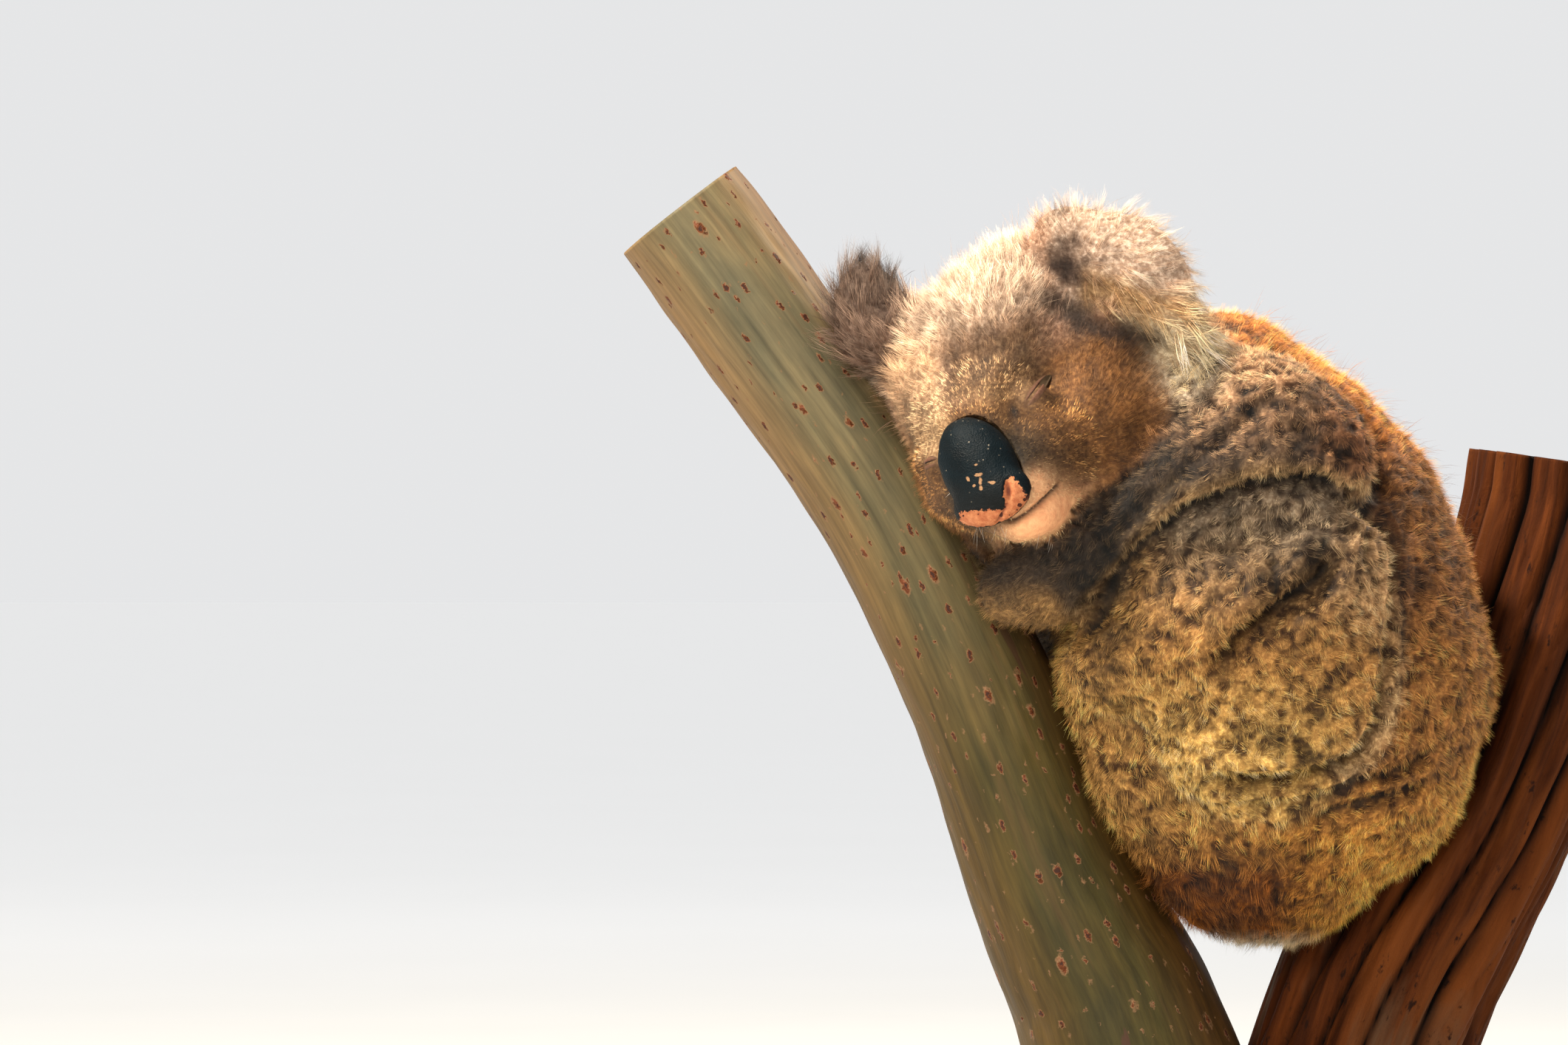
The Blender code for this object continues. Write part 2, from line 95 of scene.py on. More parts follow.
class Wiring:
    """A node tree, with a short way to add nodes to it and wire them."""

    def __init__(self, tree):
        self.tree = tree

    def wire(self, source, target):
        if isinstance(source, bpy.types.NodeSocket):
            self.tree.links.new(source, target)
        elif target.type == "RGBA" and len(source) == 3:
            target.default_value = (*source, 1)
        else:
            target.default_value = source

    def node(self, kind, inputs=(), **settings):
        node = self.tree.nodes.new(kind)
        for key, value in settings.items():
            setattr(node, key, value)
        for key, value in dict(inputs).items():
            self.wire(value, node.inputs[key])
        return node.outputs

    def maths(self, operation, a, b=0.0):
        return self.node("ShaderNodeMath", {0: a, 1: b}, operation=operation)[0]

    def vectors(self, operation, a, b=(0, 0, 0)):
        slot = 3 if operation == "SCALE" else 1
        return self.node("ShaderNodeVectorMath", {0: a, slot: b}, operation=operation)[0]

    def axis(self, vector, letter):
        return self.node("ShaderNodeSeparateXYZ", {0: vector})[letter]

    def mask(self, value, low, high, start=0.0, end=1.0, **settings):
        """`start` where the value is `low`, rising or falling to `end` where it is `high`."""
        inputs = {0: value, 1: low, 2: high, 3: start, 4: end}
        return self.node("ShaderNodeMapRange", inputs, **settings)[0]

    def noise(self, vector, scale, detail=3.0, roughness=0.55, distortion=0.0, output="Fac"):
        inputs = {"Scale": scale, "Detail": detail, "Roughness": roughness, "Distortion": distortion}
        return self.node("ShaderNodeTexNoise", {"Vector": vector, **inputs})[output]


world = bpy.data.worlds.new("studio")
world.use_nodes = True
room = Wiring(world.node_tree)
backdrop = world.node_tree.nodes["Background"].inputs
elevation = room.axis(room.node("ShaderNodeTexCoord")["Generated"], "Z")
brightness = room.mask(elevation, 0.1, 0.6, HORIZON, DOME, interpolation_type="SMOOTHSTEP")
room.wire(brightness, backdrop["Strength"])
room.wire(ROOM_WHITE, backdrop["Color"])
bpy.context.scene.world = world
bpy.context.scene.view_settings.view_transform = "Standard"


class Finish(Wiring):
    """A Principled material, whose colour is laid down one tone over another."""

    def __init__(self, name, roughness, **constants):
        self.material = bpy.data.materials.new(name)
        self.material.use_nodes = True
        super().__init__(self.material.node_tree)
        self.shader = self.tree.nodes["Principled BSDF"].inputs
        self.shader["Roughness"].default_value = roughness
        for socket, value in constants.items():
            self.shader[socket.replace("_", " ")].default_value = value

    def attribute(self, name, output="Fac"):
        return self.node("ShaderNodeAttribute", attribute_name=name)[output]

    def place(self, stretch=(1, 1, 1), attribute=None):
        """Object coordinates, or an attribute's, stretched."""
        if attribute:
            source = self.attribute(attribute, "Vector")
        else:
            source = self.node("ShaderNodeTexCoord")["Object"]
        return self.node("ShaderNodeMapping", {"Vector": source, "Scale": stretch})["Vector"]

    def grain(self, scale, *texture, stretch=(1, 1, 1), attribute=None):
        return self.noise(self.place(stretch, attribute), scale, *texture)

    def cells(self, scale):
        inputs = {"Vector": self.place(), "Scale": scale}
        return self.node("ShaderNodeTexVoronoi", inputs)["Distance"]

    def ramp(self, factor, *stops):
        """A colour that changes with a factor, from (position, colour) stops."""
        ramp = self.node("ShaderNodeValToRGB", {"Fac": factor})
        band = ramp["Color"].node.color_ramp
        while len(band.elements) < len(stops):
            band.elements.new(0.5)
        for element, (position, colour) in zip(band.elements, stops):
            element.position = position
            element.color = (*colour, 1)
        return ramp["Color"]

    def mix(self, factor, a, b, blend="MIX"):
        return self.node("ShaderNodeMix", {0: factor, 6: a, 7: b}, data_type="RGBA", blend_type=blend)[2]

    def lay(self, tone):
        """Makes this the material's colour so far."""
        self.tone = tone
        self.wire(tone, self.shader["Base Color"])

    def base(self, factor, *stops):
        """Lays a ramp as the first colour."""
        self.lay(self.ramp(factor, *stops))

    def stain(self, attribute, tone):
        """Lays a tone over the colour so far, as far as an attribute says."""
        self.lay(self.mix(self.attribute(attribute), self.tone, tone))

    def cover(self, factor, low, high, tone, share=None, blend="MIX"):
        """Lays a tone over the colour so far, from nothing at `low` to all of it at `high`."""
        factor = self.mask(factor, low, high)
        if share is not None:
            factor = self.maths("MULTIPLY", factor, share)
        self.lay(self.mix(factor, self.tone, tone, blend))

    def shade(self, factor, *stops):
        """Multiplies the colour so far by a ramp."""
        self.lay(self.mix(1.0, self.tone, self.ramp(factor, *stops), "MULTIPLY"))

    def rough(self, source, low, high):
        self.wire(self.mask(source, 0.0, 1.0, low, high), self.shader["Roughness"])

    def bump(self, height, distance):
        """Adds relief to the relief so far, in metres."""
        before = self.shader["Normal"]
        inputs = {"Height": height, "Distance": distance}
        if before.is_linked:
            inputs["Normal"] = before.links[0].from_socket
        self.wire(self.node("ShaderNodeBump", inputs)["Normal"], before)


floor_finish = Finish("studio_floor", 0.75)
floor_finish.base(floor_finish.grain(3.0), (0.3, (0.7, 0.7, 0.69)), (0.7, (0.72, 0.72, 0.71)))
away = floor_finish.node("ShaderNodeVectorMath", {0: floor_finish.place()}, operation="LENGTH")["Value"]
glow = floor_finish.mask(away, 0.4, 4.5, 0.0, HORIZON - 0.34, interpolation_type="SMOOTHSTEP")
floor_finish.wire(glow, floor_finish.shader["Emission Strength"])
floor_finish.wire(ROOM_WHITE, floor_finish.shader["Emission Color"])
floor_mesh = bpy.data.meshes.new("floor")
floor_mesh.from_pydata([(-40, -40, 0), (40, -40, 0), (40, 40, 0), (-40, 40, 0)], [], [(0, 1, 2, 3)])
floor_mesh.materials.append(floor_finish.material)
floor = add("floor", floor_mesh)

# ------------------------ the pale limb
# The smooth gum limb the animal leans on: thin grey-tan bark over wood, dotted with small
# rust-brown scars. A shell of rings along the limb's line, sawn off square at the top.
PALE_LIMB = (  # a place on its line, and the radius there
    (-0.022, 0.03, 0.052, 0.066),
    (-0.03, 0.028, 0.095, 0.063),
    (-0.051, 0.024, 0.161, 0.056),
    (-0.067, 0.02, 0.195, 0.052),
    (-0.089, 0.016, 0.244, 0.047),
    (-0.11, 0.013, 0.298, 0.0435),
    (-0.128, 0.012, 0.342, 0.042),
    (-0.158, 0.012, 0.406, 0.041),
    (-0.19, 0.012, 0.461, 0.041),
    (-0.232, 0.012, 0.52, 0.0405),
    (-0.272, 0.012, 0.575, 0.04),
    (-0.289, 0.012, 0.597, 0.0395),
)


def smooth_line(stops, steps):
    rows = np.array(stops)
    rows = np.vstack([2 * rows[0] - rows[1], rows, 2 * rows[-1] - rows[-2]])
    t = np.arange(steps)[:, None] / steps
    spans = []
    for a, b, c, d in zip(rows, rows[1:], rows[2:], rows[3:]):
        bend = (c - a) * t + (2 * a - 5 * b + 4 * c - d) * t**2 + (3 * b - 3 * c + d - a) * t**3
        spans.append(b + bend / 2)
    return np.vstack([*spans, rows[-2:-1]])


def mesh_of(name, points, faces, *materials):
    mesh = bpy.data.meshes.new(name)
    mesh.from_pydata([tuple(p) for p in points], [], [tuple(f) for f in faces])
    for material in materials:
        mesh.materials.append(material)
    mesh.shade_smooth()
    return add(name, mesh)


def store(obj, name, values, kind="FLOAT", domain="POINT"):
    """Keeps an array on an object's mesh as a named attribute."""
    key = {"FLOAT": "value", "FLOAT_VECTOR": "vector", "FLOAT_COLOR": "color", "FLOAT2": "vector"}[kind]
    attribute = obj.data.attributes.new(name, kind, domain)
    attribute.data.foreach_set(key, np.ascontiguousarray(values, np.float32).ravel())


def read(source, key, width=3, kind=np.float32):
    """One field of every element of a mesh, a row for each."""
    values = np.empty(len(source) * width, kind)
    source.foreach_get(key, values)
    return values.reshape(-1, width)


def unit(vectors, least=0.0):
    return vectors / (np.linalg.norm(vectors, axis=-1, keepdims=True) + least)


def stem_shell(name, stops, steps, sides, relief, bark, depth, ridges):
    """A stem's bark as rings, with `relief(angle, along)` standing out of it, and sawn ends."""
    line = smooth_line(stops, steps)
    middle, radius = line[:, :3], line[:, 3]
    along = np.gradient(middle, axis=0)
    along[0] = (0, 0, 1)
    along = unit(along)
    near = unit(np.array((0, -1.0, 0)) - along * -along[:, 1:2])
    inward = np.cross(near, along)
    length = np.concatenate([[0], np.cumsum(np.linalg.norm(np.diff(middle, axis=0), axis=1))])
    angle = 2 * pi * np.arange(sides) / sides
    c, s = np.cos(angle), np.sin(angle)
    around = c[None, :, None] * near[:, None] + s[None, :, None] * inward[:, None]
    ring = np.arange(len(line))[:, None] / steps
    swell = 1 + depth * np.sin(ridges * angle + 0.35 * ring) + 0.6 * depth * np.cos(2 * angle + 1)
    out = radius[:, None] * swell + relief(angle[None, :], length[:, None])
    points = list(middle[:, None] + around * out[..., None])
    straight = [np.stack([c * r, s * r, np.repeat(z, sides)], axis=-1) for r, z in zip(radius, length)]
    grid = np.arange(len(line) * sides).reshape(-1, sides)

    def band(low, high, sign=1):
        quads = np.stack([low, np.roll(low, -1), np.roll(high, -1), high], axis=-1)
        return quads[:, ::sign].tolist()

    faces = [quad for low, high in zip(grid, grid[1:]) for quad in band(low, high)]
    bark_faces = len(faces)
    ends = points[0], points[-1]
    straight_ends = straight[0], straight[-1]
    # Each sawn end closes in two rings and a middle point, the first just inside the bark's edge.
    count = grid.size
    for row, sign in ((0, -1), (-1, 1)):
        edge = grid[row]
        for share, drop in ((0.965, 0.0012), (0.5, 0.0016)):
            closer = middle[row] + (ends[row] - middle[row]) * share
            points.append(closer - along[row] * sign * drop)
            straight.append(straight_ends[row] * (share, share, 1))
            fresh = np.arange(count, count + sides)
            faces += band(edge, fresh, sign)
            edge, count = fresh, count + sides
        points.append((middle[row] - along[row] * sign * drop)[None])
        straight.append(np.array([[0, 0, length[row]]]))
        faces += [[a, b, count][::sign] for a, b in zip(edge.tolist(), np.roll(edge, -1).tolist())]
        count += 1
    straight = np.concatenate(straight)
    obj = mesh_of(name, np.concatenate(points).tolist(), faces, bark.material, sawn_wood.material)
    obj.data.polygons.foreach_set("material_index", (np.arange(len(faces)) >= bark_faces).astype(np.int32))
    store(obj, "straight", straight, "FLOAT_VECTOR")
    # The bark unrolled flat: round the stem and along it, with the join behind.
    corners = np.array([v for face in faces for v in face])
    sizes = [len(face) for face in faces]
    way = np.arctan2(straight[:, 1], straight[:, 0])[corners]
    first = np.repeat(way[np.cumsum([0, *sizes[:-1]])], sizes)
    way = way + 2 * pi * (first - way > pi) - 2 * pi * (way - first > pi)
    store(obj, "unrolled", np.stack([way * radius.mean(), straight[corners, 2]], axis=1), "FLOAT2", "CORNER")
    return obj


def ripples(angle, along, seed, count, fastest, slowest_mm):
    """A smooth random relief between about -1 and 1 that closes round the stem."""
    dice = np.random.default_rng(seed)
    total = 0
    for _ in range(count):
        turns = dice.integers(0, fastest + 1)
        pace = 2 * pi / (slowest_mm * 0.001) * dice.uniform(0.3, 1)
        total = total + np.sin(turns * angle + pace * along * dice.choice([-1, 1]) + dice.uniform(0, 6.28))
    return total / np.sqrt(count)


def limb_relief(angle, along):
    broad = 0.0009 * ripples(angle, along, 3, 14, 5, 150)
    fine = 0.00022 * ripples(angle, along, 8, 24, 22, 30)
    return broad + fine - 0.0006


SCAR_SHAKE = 0.0042


def fibre(finish, lengthways, *texture):
    """A noise drawn out along the stem, more so the smaller `lengthways` is."""
    return finish.grain(*texture, stretch=(1, 1, lengthways), attribute="straight")


def scars(scale, most, share):
    """Oval scars on the unrolled bark, how far inside one each point is, up to `most` of a cell."""
    shaken = pale_bark.noise(pale_bark.place(), 420.0, 2.0, 0.5, output="Color")
    shaken = pale_bark.vectors("SCALE", shaken, SCAR_SHAKE)
    flat = pale_bark.vectors("ADD", pale_bark.place((1, 0.52, 1), "unrolled"), shaken)
    cell = pale_bark.node("ShaderNodeTexVoronoi", {"Vector": flat, "Scale": scale}, voronoi_dimensions="2D")
    draw = pale_bark.node("ShaderNodeSeparateColor", {"Color": cell["Color"]})[0]
    size = pale_bark.maths("MULTIPLY", pale_bark.mask(draw, 1 - share, 1.0), most)
    return pale_bark.maths("SUBTRACT", size, cell["Distance"])


pale_bark = Finish("smooth_pale_bark", 0.62, Specular_IOR_Level=0.18)
patches = fibre(pale_bark, 0.4, 22, 5, 0.62, 0.25)
threads = fibre(pale_bark, 0.05, 230, 5, 0.6)
streaks = fibre(pale_bark, 0.07, 44, 5, 0.62)
peel = fibre(pale_bark, 0.08, 52, 3, 0.55, 0.5)
down_the_stem = pale_bark.place((1, 1, 1), "straight")
round_side = pale_bark.axis(down_the_stem, "Y")
low_down = pale_bark.mask(pale_bark.axis(down_the_stem, "Z"), 0.52, 0.26)
inside_scar = pale_bark.maths("MAXIMUM", scars(96.0, 0.17, 0.75), scars(52.0, 0.125, 0.6))
pale_bark.base(
    patches, (0.34, (0.108, 0.102, 0.066)), (0.5, (0.156, 0.134, 0.08)), (0.66, (0.215, 0.165, 0.092)),
)
# The side to the left is lighter and warmer, as painted sunlight; the other side is browner.
pale_bark.cover(round_side, 0.014, 0.04, (0.235, 0.15, 0.072))
pale_bark.cover(round_side, -0.02, -0.044, (0.19, 0.098, 0.04))
pale_bark.shade(threads, (0.3, (0.62, 0.62, 0.62)), (0.7, (1.34, 1.32, 1.3)))
pale_bark.shade(low_down, (0.0, (0.84, 0.78, 0.68)), (1.0, (0.29, 0.26, 0.105)))
pale_bark.cover(streaks, 0.58, 0.8, (0.15, 0.066, 0.026), 0.42)
pale_bark.cover(peel, 0.66, 0.68, (0.055, 0.026, 0.014), low_down)
pale_bark.cover(inside_scar, -0.05, 0.01, (0.185, 0.098, 0.046))
pale_bark.cover(inside_scar, 0.005, 0.03, (0.125, 0.034, 0.01))
pale_bark.cover(inside_scar, 0.06, 0.08, (0.032, 0.01, 0.005))
pale_bark.rough(patches, 0.48, 0.7)
pale_bark.bump(threads, 0.0004)
pale_bark.bump(pale_bark.maths("SUBTRACT", 1.0, pale_bark.mask(inside_scar, 0.0, 0.06)), 0.0008)

sawn_wood = Finish("sawn_wood", 0.7)
RING_SHAPE = {"Scale": 95.0, "Distortion": 2.5, "Detail": 2.0, "Detail Scale": 0.6}
year_rings = sawn_wood.node(
    "ShaderNodeTexWave", {"Vector": sawn_wood.place(attribute="straight"), **RING_SHAPE},
    wave_type="RINGS", rings_direction="Z",
)["Fac"]
saw_marks = sawn_wood.grain(420, 3, stretch=(1, 0.05, 1), attribute="straight")
sawn_wood.base(year_rings, (0.2, (0.25, 0.155, 0.08)), (0.8, (0.4, 0.275, 0.155)))
sawn_wood.cover(saw_marks, 0.45, 0.8, (0.22, 0.125, 0.062))
sawn_wood.bump(saw_marks, 0.0004)

limb = stem_shell("pale_limb", PALE_LIMB, 16, 132, limb_relief, pale_bark, 0.012, 3)
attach(limb, "root")
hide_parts("perch_limb")

# ------------------------ the red stem
# The second stem of the fork, behind the back: thick, stringy red-brown bark that hangs in
# long ropes with deep furrows between them, painted near black as shade. The same rings,
# with far deeper relief.
RED_STEM = (
    (0.062, 0.042, 0.052, 0.06),
    (0.08, 0.05, 0.11, 0.059),
    (0.108, 0.068, 0.18, 0.06),
    (0.15, 0.096, 0.26, 0.06),
    (0.184, 0.112, 0.34, 0.059),
    (0.208, 0.118, 0.42, 0.058),
    (0.214, 0.118, 0.458, 0.057),
)
FURROW = 0.012
ROPE = 0.0145


def rope_relief(angle, along):
    sway = angle + 0.085 * ripples(angle, along, 21, 8, 2, 300) + 0.9 * along
    ropes = np.abs(np.sin(6.5 * sway + 0.8 * ripples(angle, along, 5, 6, 2, 260)))
    strings = np.abs(np.sin(15.5 * sway + 1.0 * ripples(angle, along, 6, 8, 4, 150)))
    fibres = ripples(angle, along, 9, 26, 60, 90)
    return 0.0115 * ropes**0.5 + 0.003 * strings**0.5 + 0.0005 * fibres - FURROW


red_bark = Finish("stringy_red_bark", 0.85, Specular_IOR_Level=0.1)
fibres = fibre(red_bark, 0.06, 150, 6, 0.65, 0.4)
flecks = fibre(red_bark, 0.45, 130, 4, 0.7)
red_bark.base(
    fibres, (0.28, (0.022, 0.005, 0.0008)), (0.5, (0.052, 0.012, 0.0018)), (0.75, (0.12, 0.03, 0.005)),
)
red_bark.cover(fibre(red_bark, 0.14, 30, 4, 0.6, 0.5), 0.5, 0.72, (0.125, 0.034, 0.006))
red_bark.cover(fibre(red_bark, 0.22, 26, 4, 0.6, 0.3), 0.58, 0.72, (0.085, 0.05, 0.028))
red_bark.cover(flecks, 0.6, 0.68, (0.016, 0.005, 0.002))
# The furrows painted near black: painted shade.
red_bark.cover(red_bark.attribute("height"), 0.72, 0.36, (0.0035, 0.0012, 0.0006))
red_bark.bump(fibres, 0.0016)
red_bark.bump(flecks, 0.001)
stem = stem_shell("red_stem", RED_STEM, 26, 264, rope_relief, red_bark, 0.03, 7)
spots = read(stem.data.attributes["straight"].data, "vector")
relief = rope_relief(np.arctan2(spots[:, 1], spots[:, 0]), spots[:, 2])
store(stem, "height", (relief + FURROW) / ROPE)
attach(stem, "root")
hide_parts("perch_trunk")

# ------------------------ the stand
# A flat base and two short steel rods that carry the fork, all painted black. Their shapes
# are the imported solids, so they only get their paint here.
stand_paint = Finish("stand_paint", 0.42, Coat_Weight=0.1)
paint_grain = stand_paint.grain(900, 2)
stand_paint.base(paint_grain, (0.3, (0.018, 0.018, 0.019)), (0.7, (0.028, 0.028, 0.03)))
stand_paint.bump(paint_grain, 0.00008)
for name in ("stand_base", "stand_rod_left", "stand_rod_right"):
    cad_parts[name].data.materials.clear()
    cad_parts[name].data.materials.append(stand_paint.material)

# ------------------------ the skin
# One hide over the whole animal, from the imported pieces of flesh fused into one. It lies
# under the coat by the hair's depth, and carries the pelt's markings with the sunlight and
# shade painted among them, as the coat does.
FLESH_NAMES = (
    "head", "ear_", "lid_", "trunk", "upper_arm", "forearm", "hand_", "thigh", "shank", "foot_",
)
FLESH = [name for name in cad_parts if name.startswith(FLESH_NAMES)]
COVERED = [name for name in FLESH if not name.startswith("lid_")]
EYE_MIDDLE = Vector((-0.124, -0.084, 0.476))
HEAD_TURN = Matrix.Rotation(-radians(19), 3, "Z")
HEAD_NOD = Matrix.Rotation(radians(9), 3, "X")
HEAD_TILT = Matrix.Rotation(-radians(30), 3, "Y")
HEAD_AXES = HEAD_TURN @ HEAD_NOD @ HEAD_TILT
MM = 1000  # millimetres in a metre
SAME_PLACE = 1e-5
SKIN_GRAIN = 0.0028
FACE_RADIUS = 0.062
NEIGHBOURHOOD = 0.02
IN_FRONT = -0.4


def on_head(forward, left, up):
    """A place on the head, in metres from the middle of the eyes: out of the face, to its left, up."""
    return EYE_MIDDLE + HEAD_AXES @ Vector((left, -forward, up))


def head_places(points):
    """Points as (forward, left, up) on the head, in millimetres."""
    local = (points - np.array(EYE_MIDDLE)) @ np.array(HEAD_AXES) * MM
    return -local[:, 1], local[:, 0], local[:, 2]


def merged_copy(name):
    bm = bmesh.new()
    bm.from_mesh(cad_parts[name].data)
    bmesh.ops.remove_doubles(bm, verts=bm.verts, dist=SAME_PLACE)
    return bm


def settled(obj):
    """Turns an object's modifiers into a plain mesh."""
    bpy.context.view_layer.update()
    graph = bpy.context.evaluated_depsgraph_get()
    mesh = bpy.data.meshes.new_from_object(obj.evaluated_get(graph))
    obj.modifiers.clear()
    obj.data = mesh


def fused(name, solids, grain):
    """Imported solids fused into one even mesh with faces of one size."""
    bm = bmesh.new()
    for solid in solids:
        copy = merged_copy(solid)
        lump = bpy.data.meshes.new("lump")
        copy.to_mesh(lump)
        copy.free()
        bm.from_mesh(lump)
        bpy.data.meshes.remove(lump)
    mesh = bpy.data.meshes.new(name)
    bm.to_mesh(mesh)
    bm.free()
    obj = add(name, mesh)
    melt = obj.modifiers.new("melt", "REMESH")
    melt.mode = "VOXEL"
    melt.voxel_size = grain
    settled(obj)
    return obj


def places_of(obj):
    return read(obj.data.vertices, "co").astype(np.float64)


def normals_of(obj):
    return read(obj.data.vertex_normals, "vector").astype(np.float64)


def edges_of(obj):
    return read(obj.data.edges, "vertices", 2, np.int32)


def move(obj, points):
    """Puts a mesh's points at these places."""
    obj.data.vertices.foreach_set("co", points.astype(np.float32).ravel())
    obj.data.update()


def dress(obj, finish):
    obj.data.materials.clear()
    obj.data.materials.append(finish.material)
    obj.data.shade_smooth()


def spread(values, edges, rounds, keep=0.0):
    """Evens out a value over its neighbours. `keep` holds back part of each point's own value."""
    values = np.array(values, np.float64)
    flat = values.reshape(len(values), -1)
    count = np.bincount(edges.ravel(), minlength=len(values))[:, None] + 1
    for _ in range(rounds):
        total = flat.copy()
        for column in range(flat.shape[1]):
            for here, there in ((0, 1), (1, 0)):
                total[:, column] += np.bincount(edges[:, here], flat[edges[:, there], column], len(values))
        flat = flat * keep + (1 - keep) * total / count
    return flat.reshape(values.shape)


def bell(distance, width):
    return np.exp(-((distance / width) ** 2))


def rise(value, start, width):
    """0 up to `start`, then up to 1 over the width. A negative width falls back from the start."""
    return np.clip((value - start) / width, 0, 1)


hide = fused("hide", FLESH, SKIN_GRAIN)

# Only the outer shell is kept, not the walls of hollows inside it.
shell = bmesh.new()
shell.from_mesh(hide.data)
left = set(shell.verts)
shells = []
while left:
    body = [left.pop()]
    for vertex in body:
        for link in vertex.link_edges:
            other = link.other_vert(vertex)
            if other in left:
                left.remove(other)
                body.append(other)
    shells.append(body)
shells.sort(key=len)
for body in shells[:-1]:
    bmesh.ops.delete(shell, geom=body, context="VERTS")
# The face gets smaller faces than the body.
face_middle = on_head(0.005, 0.0, -0.02)
to_head = HEAD_AXES.transposed()
near_face = [
    f for f in shell.faces
    if (f.calc_center_median() - face_middle).length < FACE_RADIUS and (to_head @ f.normal).y < 0.2
]
rim = {e for f in near_face for e in f.edges}
bmesh.ops.subdivide_edges(shell, edges=list(rim), cuts=1, use_grid_fill=True)
bmesh.ops.triangulate(shell, faces=[f for f in shell.faces if len(f.verts) > 4])
shell.to_mesh(hide.data)
shell.free()
edges = edges_of(hide)
places = places_of(hide)

# Which piece of flesh each point of the hide belongs to.
nearest = np.full(len(places), 1e9)
label = np.zeros(len(places), np.int32)
for index, name in enumerate(FLESH):
    bm = merged_copy(name)
    tree = BVHTree.FromBMesh(bm)
    bm.free()
    low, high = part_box(name)
    low, high = np.array(low) - NEIGHBOURHOOD, np.array(high) + NEIGHBOURHOOD
    for i in np.nonzero(((places > low) & (places < high)).all(axis=1))[0]:
        distance = tree.find_nearest(places[i])[3]
        if distance is not None and distance < nearest[i]:
            nearest[i], label[i] = distance, index


def belongs(*starts):
    """1 where the hide belongs to pieces of flesh with these names, softened at the joins."""
    mask = np.isin(label, [i for i, n in enumerate(FLESH) if n.startswith(starts)]).astype(float)
    return spread(mask, edges, 4)


paws = belongs("hand_", "foot_")
ears = belongs("ear_")
on_the_head = belongs("head", "lid_")
ear_left, ear_right = belongs("ear_left"), belongs("ear_right")
arms = belongs("upper_arm", "forearm")
legs = belongs("thigh", "shank")
torso = belongs("trunk")
# The thigh's own fur runs up to the crease under the arm. Lines on the near side are (x, z) in mm.
ARM_EDGE = ((79, 439), (54, 446), (22, 445), (-15, 431), (-40, 408), (-62, 380), (-72, 366))
crease_x, crease_z = np.array(ARM_EDGE[::-1]).T / MM
below_crease = rise(np.interp(places[:, 0], crease_x, crease_z), places[:, 2], 0.003)
below_crease *= (places[:, 1] < -0.02) * (places[:, 0] > -0.045) * (places[:, 0] < 0.095)
legs, arms = legs + arms * below_crease, arms * (1 - below_crease)
# The short-haired front of the face, measured from the bridge of the nose.
forward, leftward, upward = head_places(places)
from_bridge = np.clip(((leftward - 2) / 46) ** 2 + ((upward + 26) / 52) ** 2, 0, 9)
face = on_the_head * np.clip(1.6 - 1.35 * np.sqrt(from_bridge), 0, 1) * rise(forward, -22, 18)
smooth_more = np.clip(1 - 0.75 * np.maximum(paws, np.maximum(face, 0.8 * ears)), 0, 1)[:, None]
places = spread(places, edges, 26, keep=1 - smooth_more)
move(hide, places)


def distance_to_path(points, path):
    best = np.full(len(points), 1e9)
    for a, b in zip(path, path[1:]):
        a, b = np.array(a), np.array(b)
        share = np.clip(((points - a) @ (b - a)) / ((b - a) @ (b - a)), 0, 1)
        best = np.minimum(best, np.linalg.norm(points - a - share[:, None] * (b - a), axis=1))
    return best


def from_spot(spot):
    return np.linalg.norm(places - np.array(spot), axis=1)


def near(spot, width):
    return bell(from_spot(spot), width)


def near_side_hit(x, z):
    return tree.ray_cast(Vector((x * 0.001, IN_FRONT, z * 0.001)), Vector((0, 1, 0)))[0]


def on_the_near_side(x, z):
    """The point of the hide at (x, z), in mm, on the side the lens sees."""
    hit = near_side_hit(x, z)
    return np.array(hit if hit is not None else (x * 0.001, -0.1, z * 0.001))


def from_line(line):
    """How far each point of the hide is from a line on its near side, in mm."""
    return distance_to_path(places, [on_the_near_side(x, z) for x, z in line]) * MM


# Folds in the loose pelt of the near side: over the shank, round the thigh and its underside,
# and along the arm. Each is a line with a width and a depth in mm.
FOLDS = (
    (((62, 403), (58, 397), (36, 378), (18, 363), (5, 348)), 6.6, 22.0),
    (((58, 418), (54, 408), (60, 398)), 3.2, 11.0),
    (((30, 405), (31, 396), (32, 388)), 3.0, 9.0),
    (
        ((79, 437), (92, 425), (98, 405), (97, 378), (95, 348), (92, 324), (86, 304), (72, 292), (51, 285),
         (27, 282), (0, 283)),
        5.0, 20.0,
    ),
    (((13, 269), (37, 270), (58, 275), (79, 283), (106, 292), (120, 299)), 3.6, 12.0),
    (((58, 264), (79, 271), (99, 276), (120, 283)), 3.6, 10.0),
    (ARM_EDGE, 5.0, 15.0),
    (((-62, 404), (-30, 442), (0, 470), (26, 492)), 4.5, 5.0),
    (((86, 430), (93, 446), (94, 470), (84, 490)), 5.0, 9.0),
    (((40, 478), (58, 468), (74, 462)), 4.0, 6.0),
    (((44, 310), (52, 300), (66, 297)), 3.0, 6.0),
    (((73, 431), (70, 420), (68, 408)), 2.6, 6.0),
    (((85, 425), (84, 414), (82, 404)), 2.6, 6.0),
)
tree = BVHTree.FromObject(hide, bpy.context.evaluated_depsgraph_get())
fold, fold_sink, puff = np.zeros((3, len(places)))
for line, width, sink in FOLDS:
    hits = [near_side_hit(x, z) for x, z in line]
    from_fold = distance_to_path(places, [hit for hit in hits if hit is not None]) * MM
    share = bell(from_fold, width)
    fold = np.maximum(fold, share * min(1, sink / 9))
    puff = np.maximum(puff, bell(from_fold - 2.3 * width, 1.3 * width) * sink)
    fold_sink = np.maximum(fold_sink, share * sink)

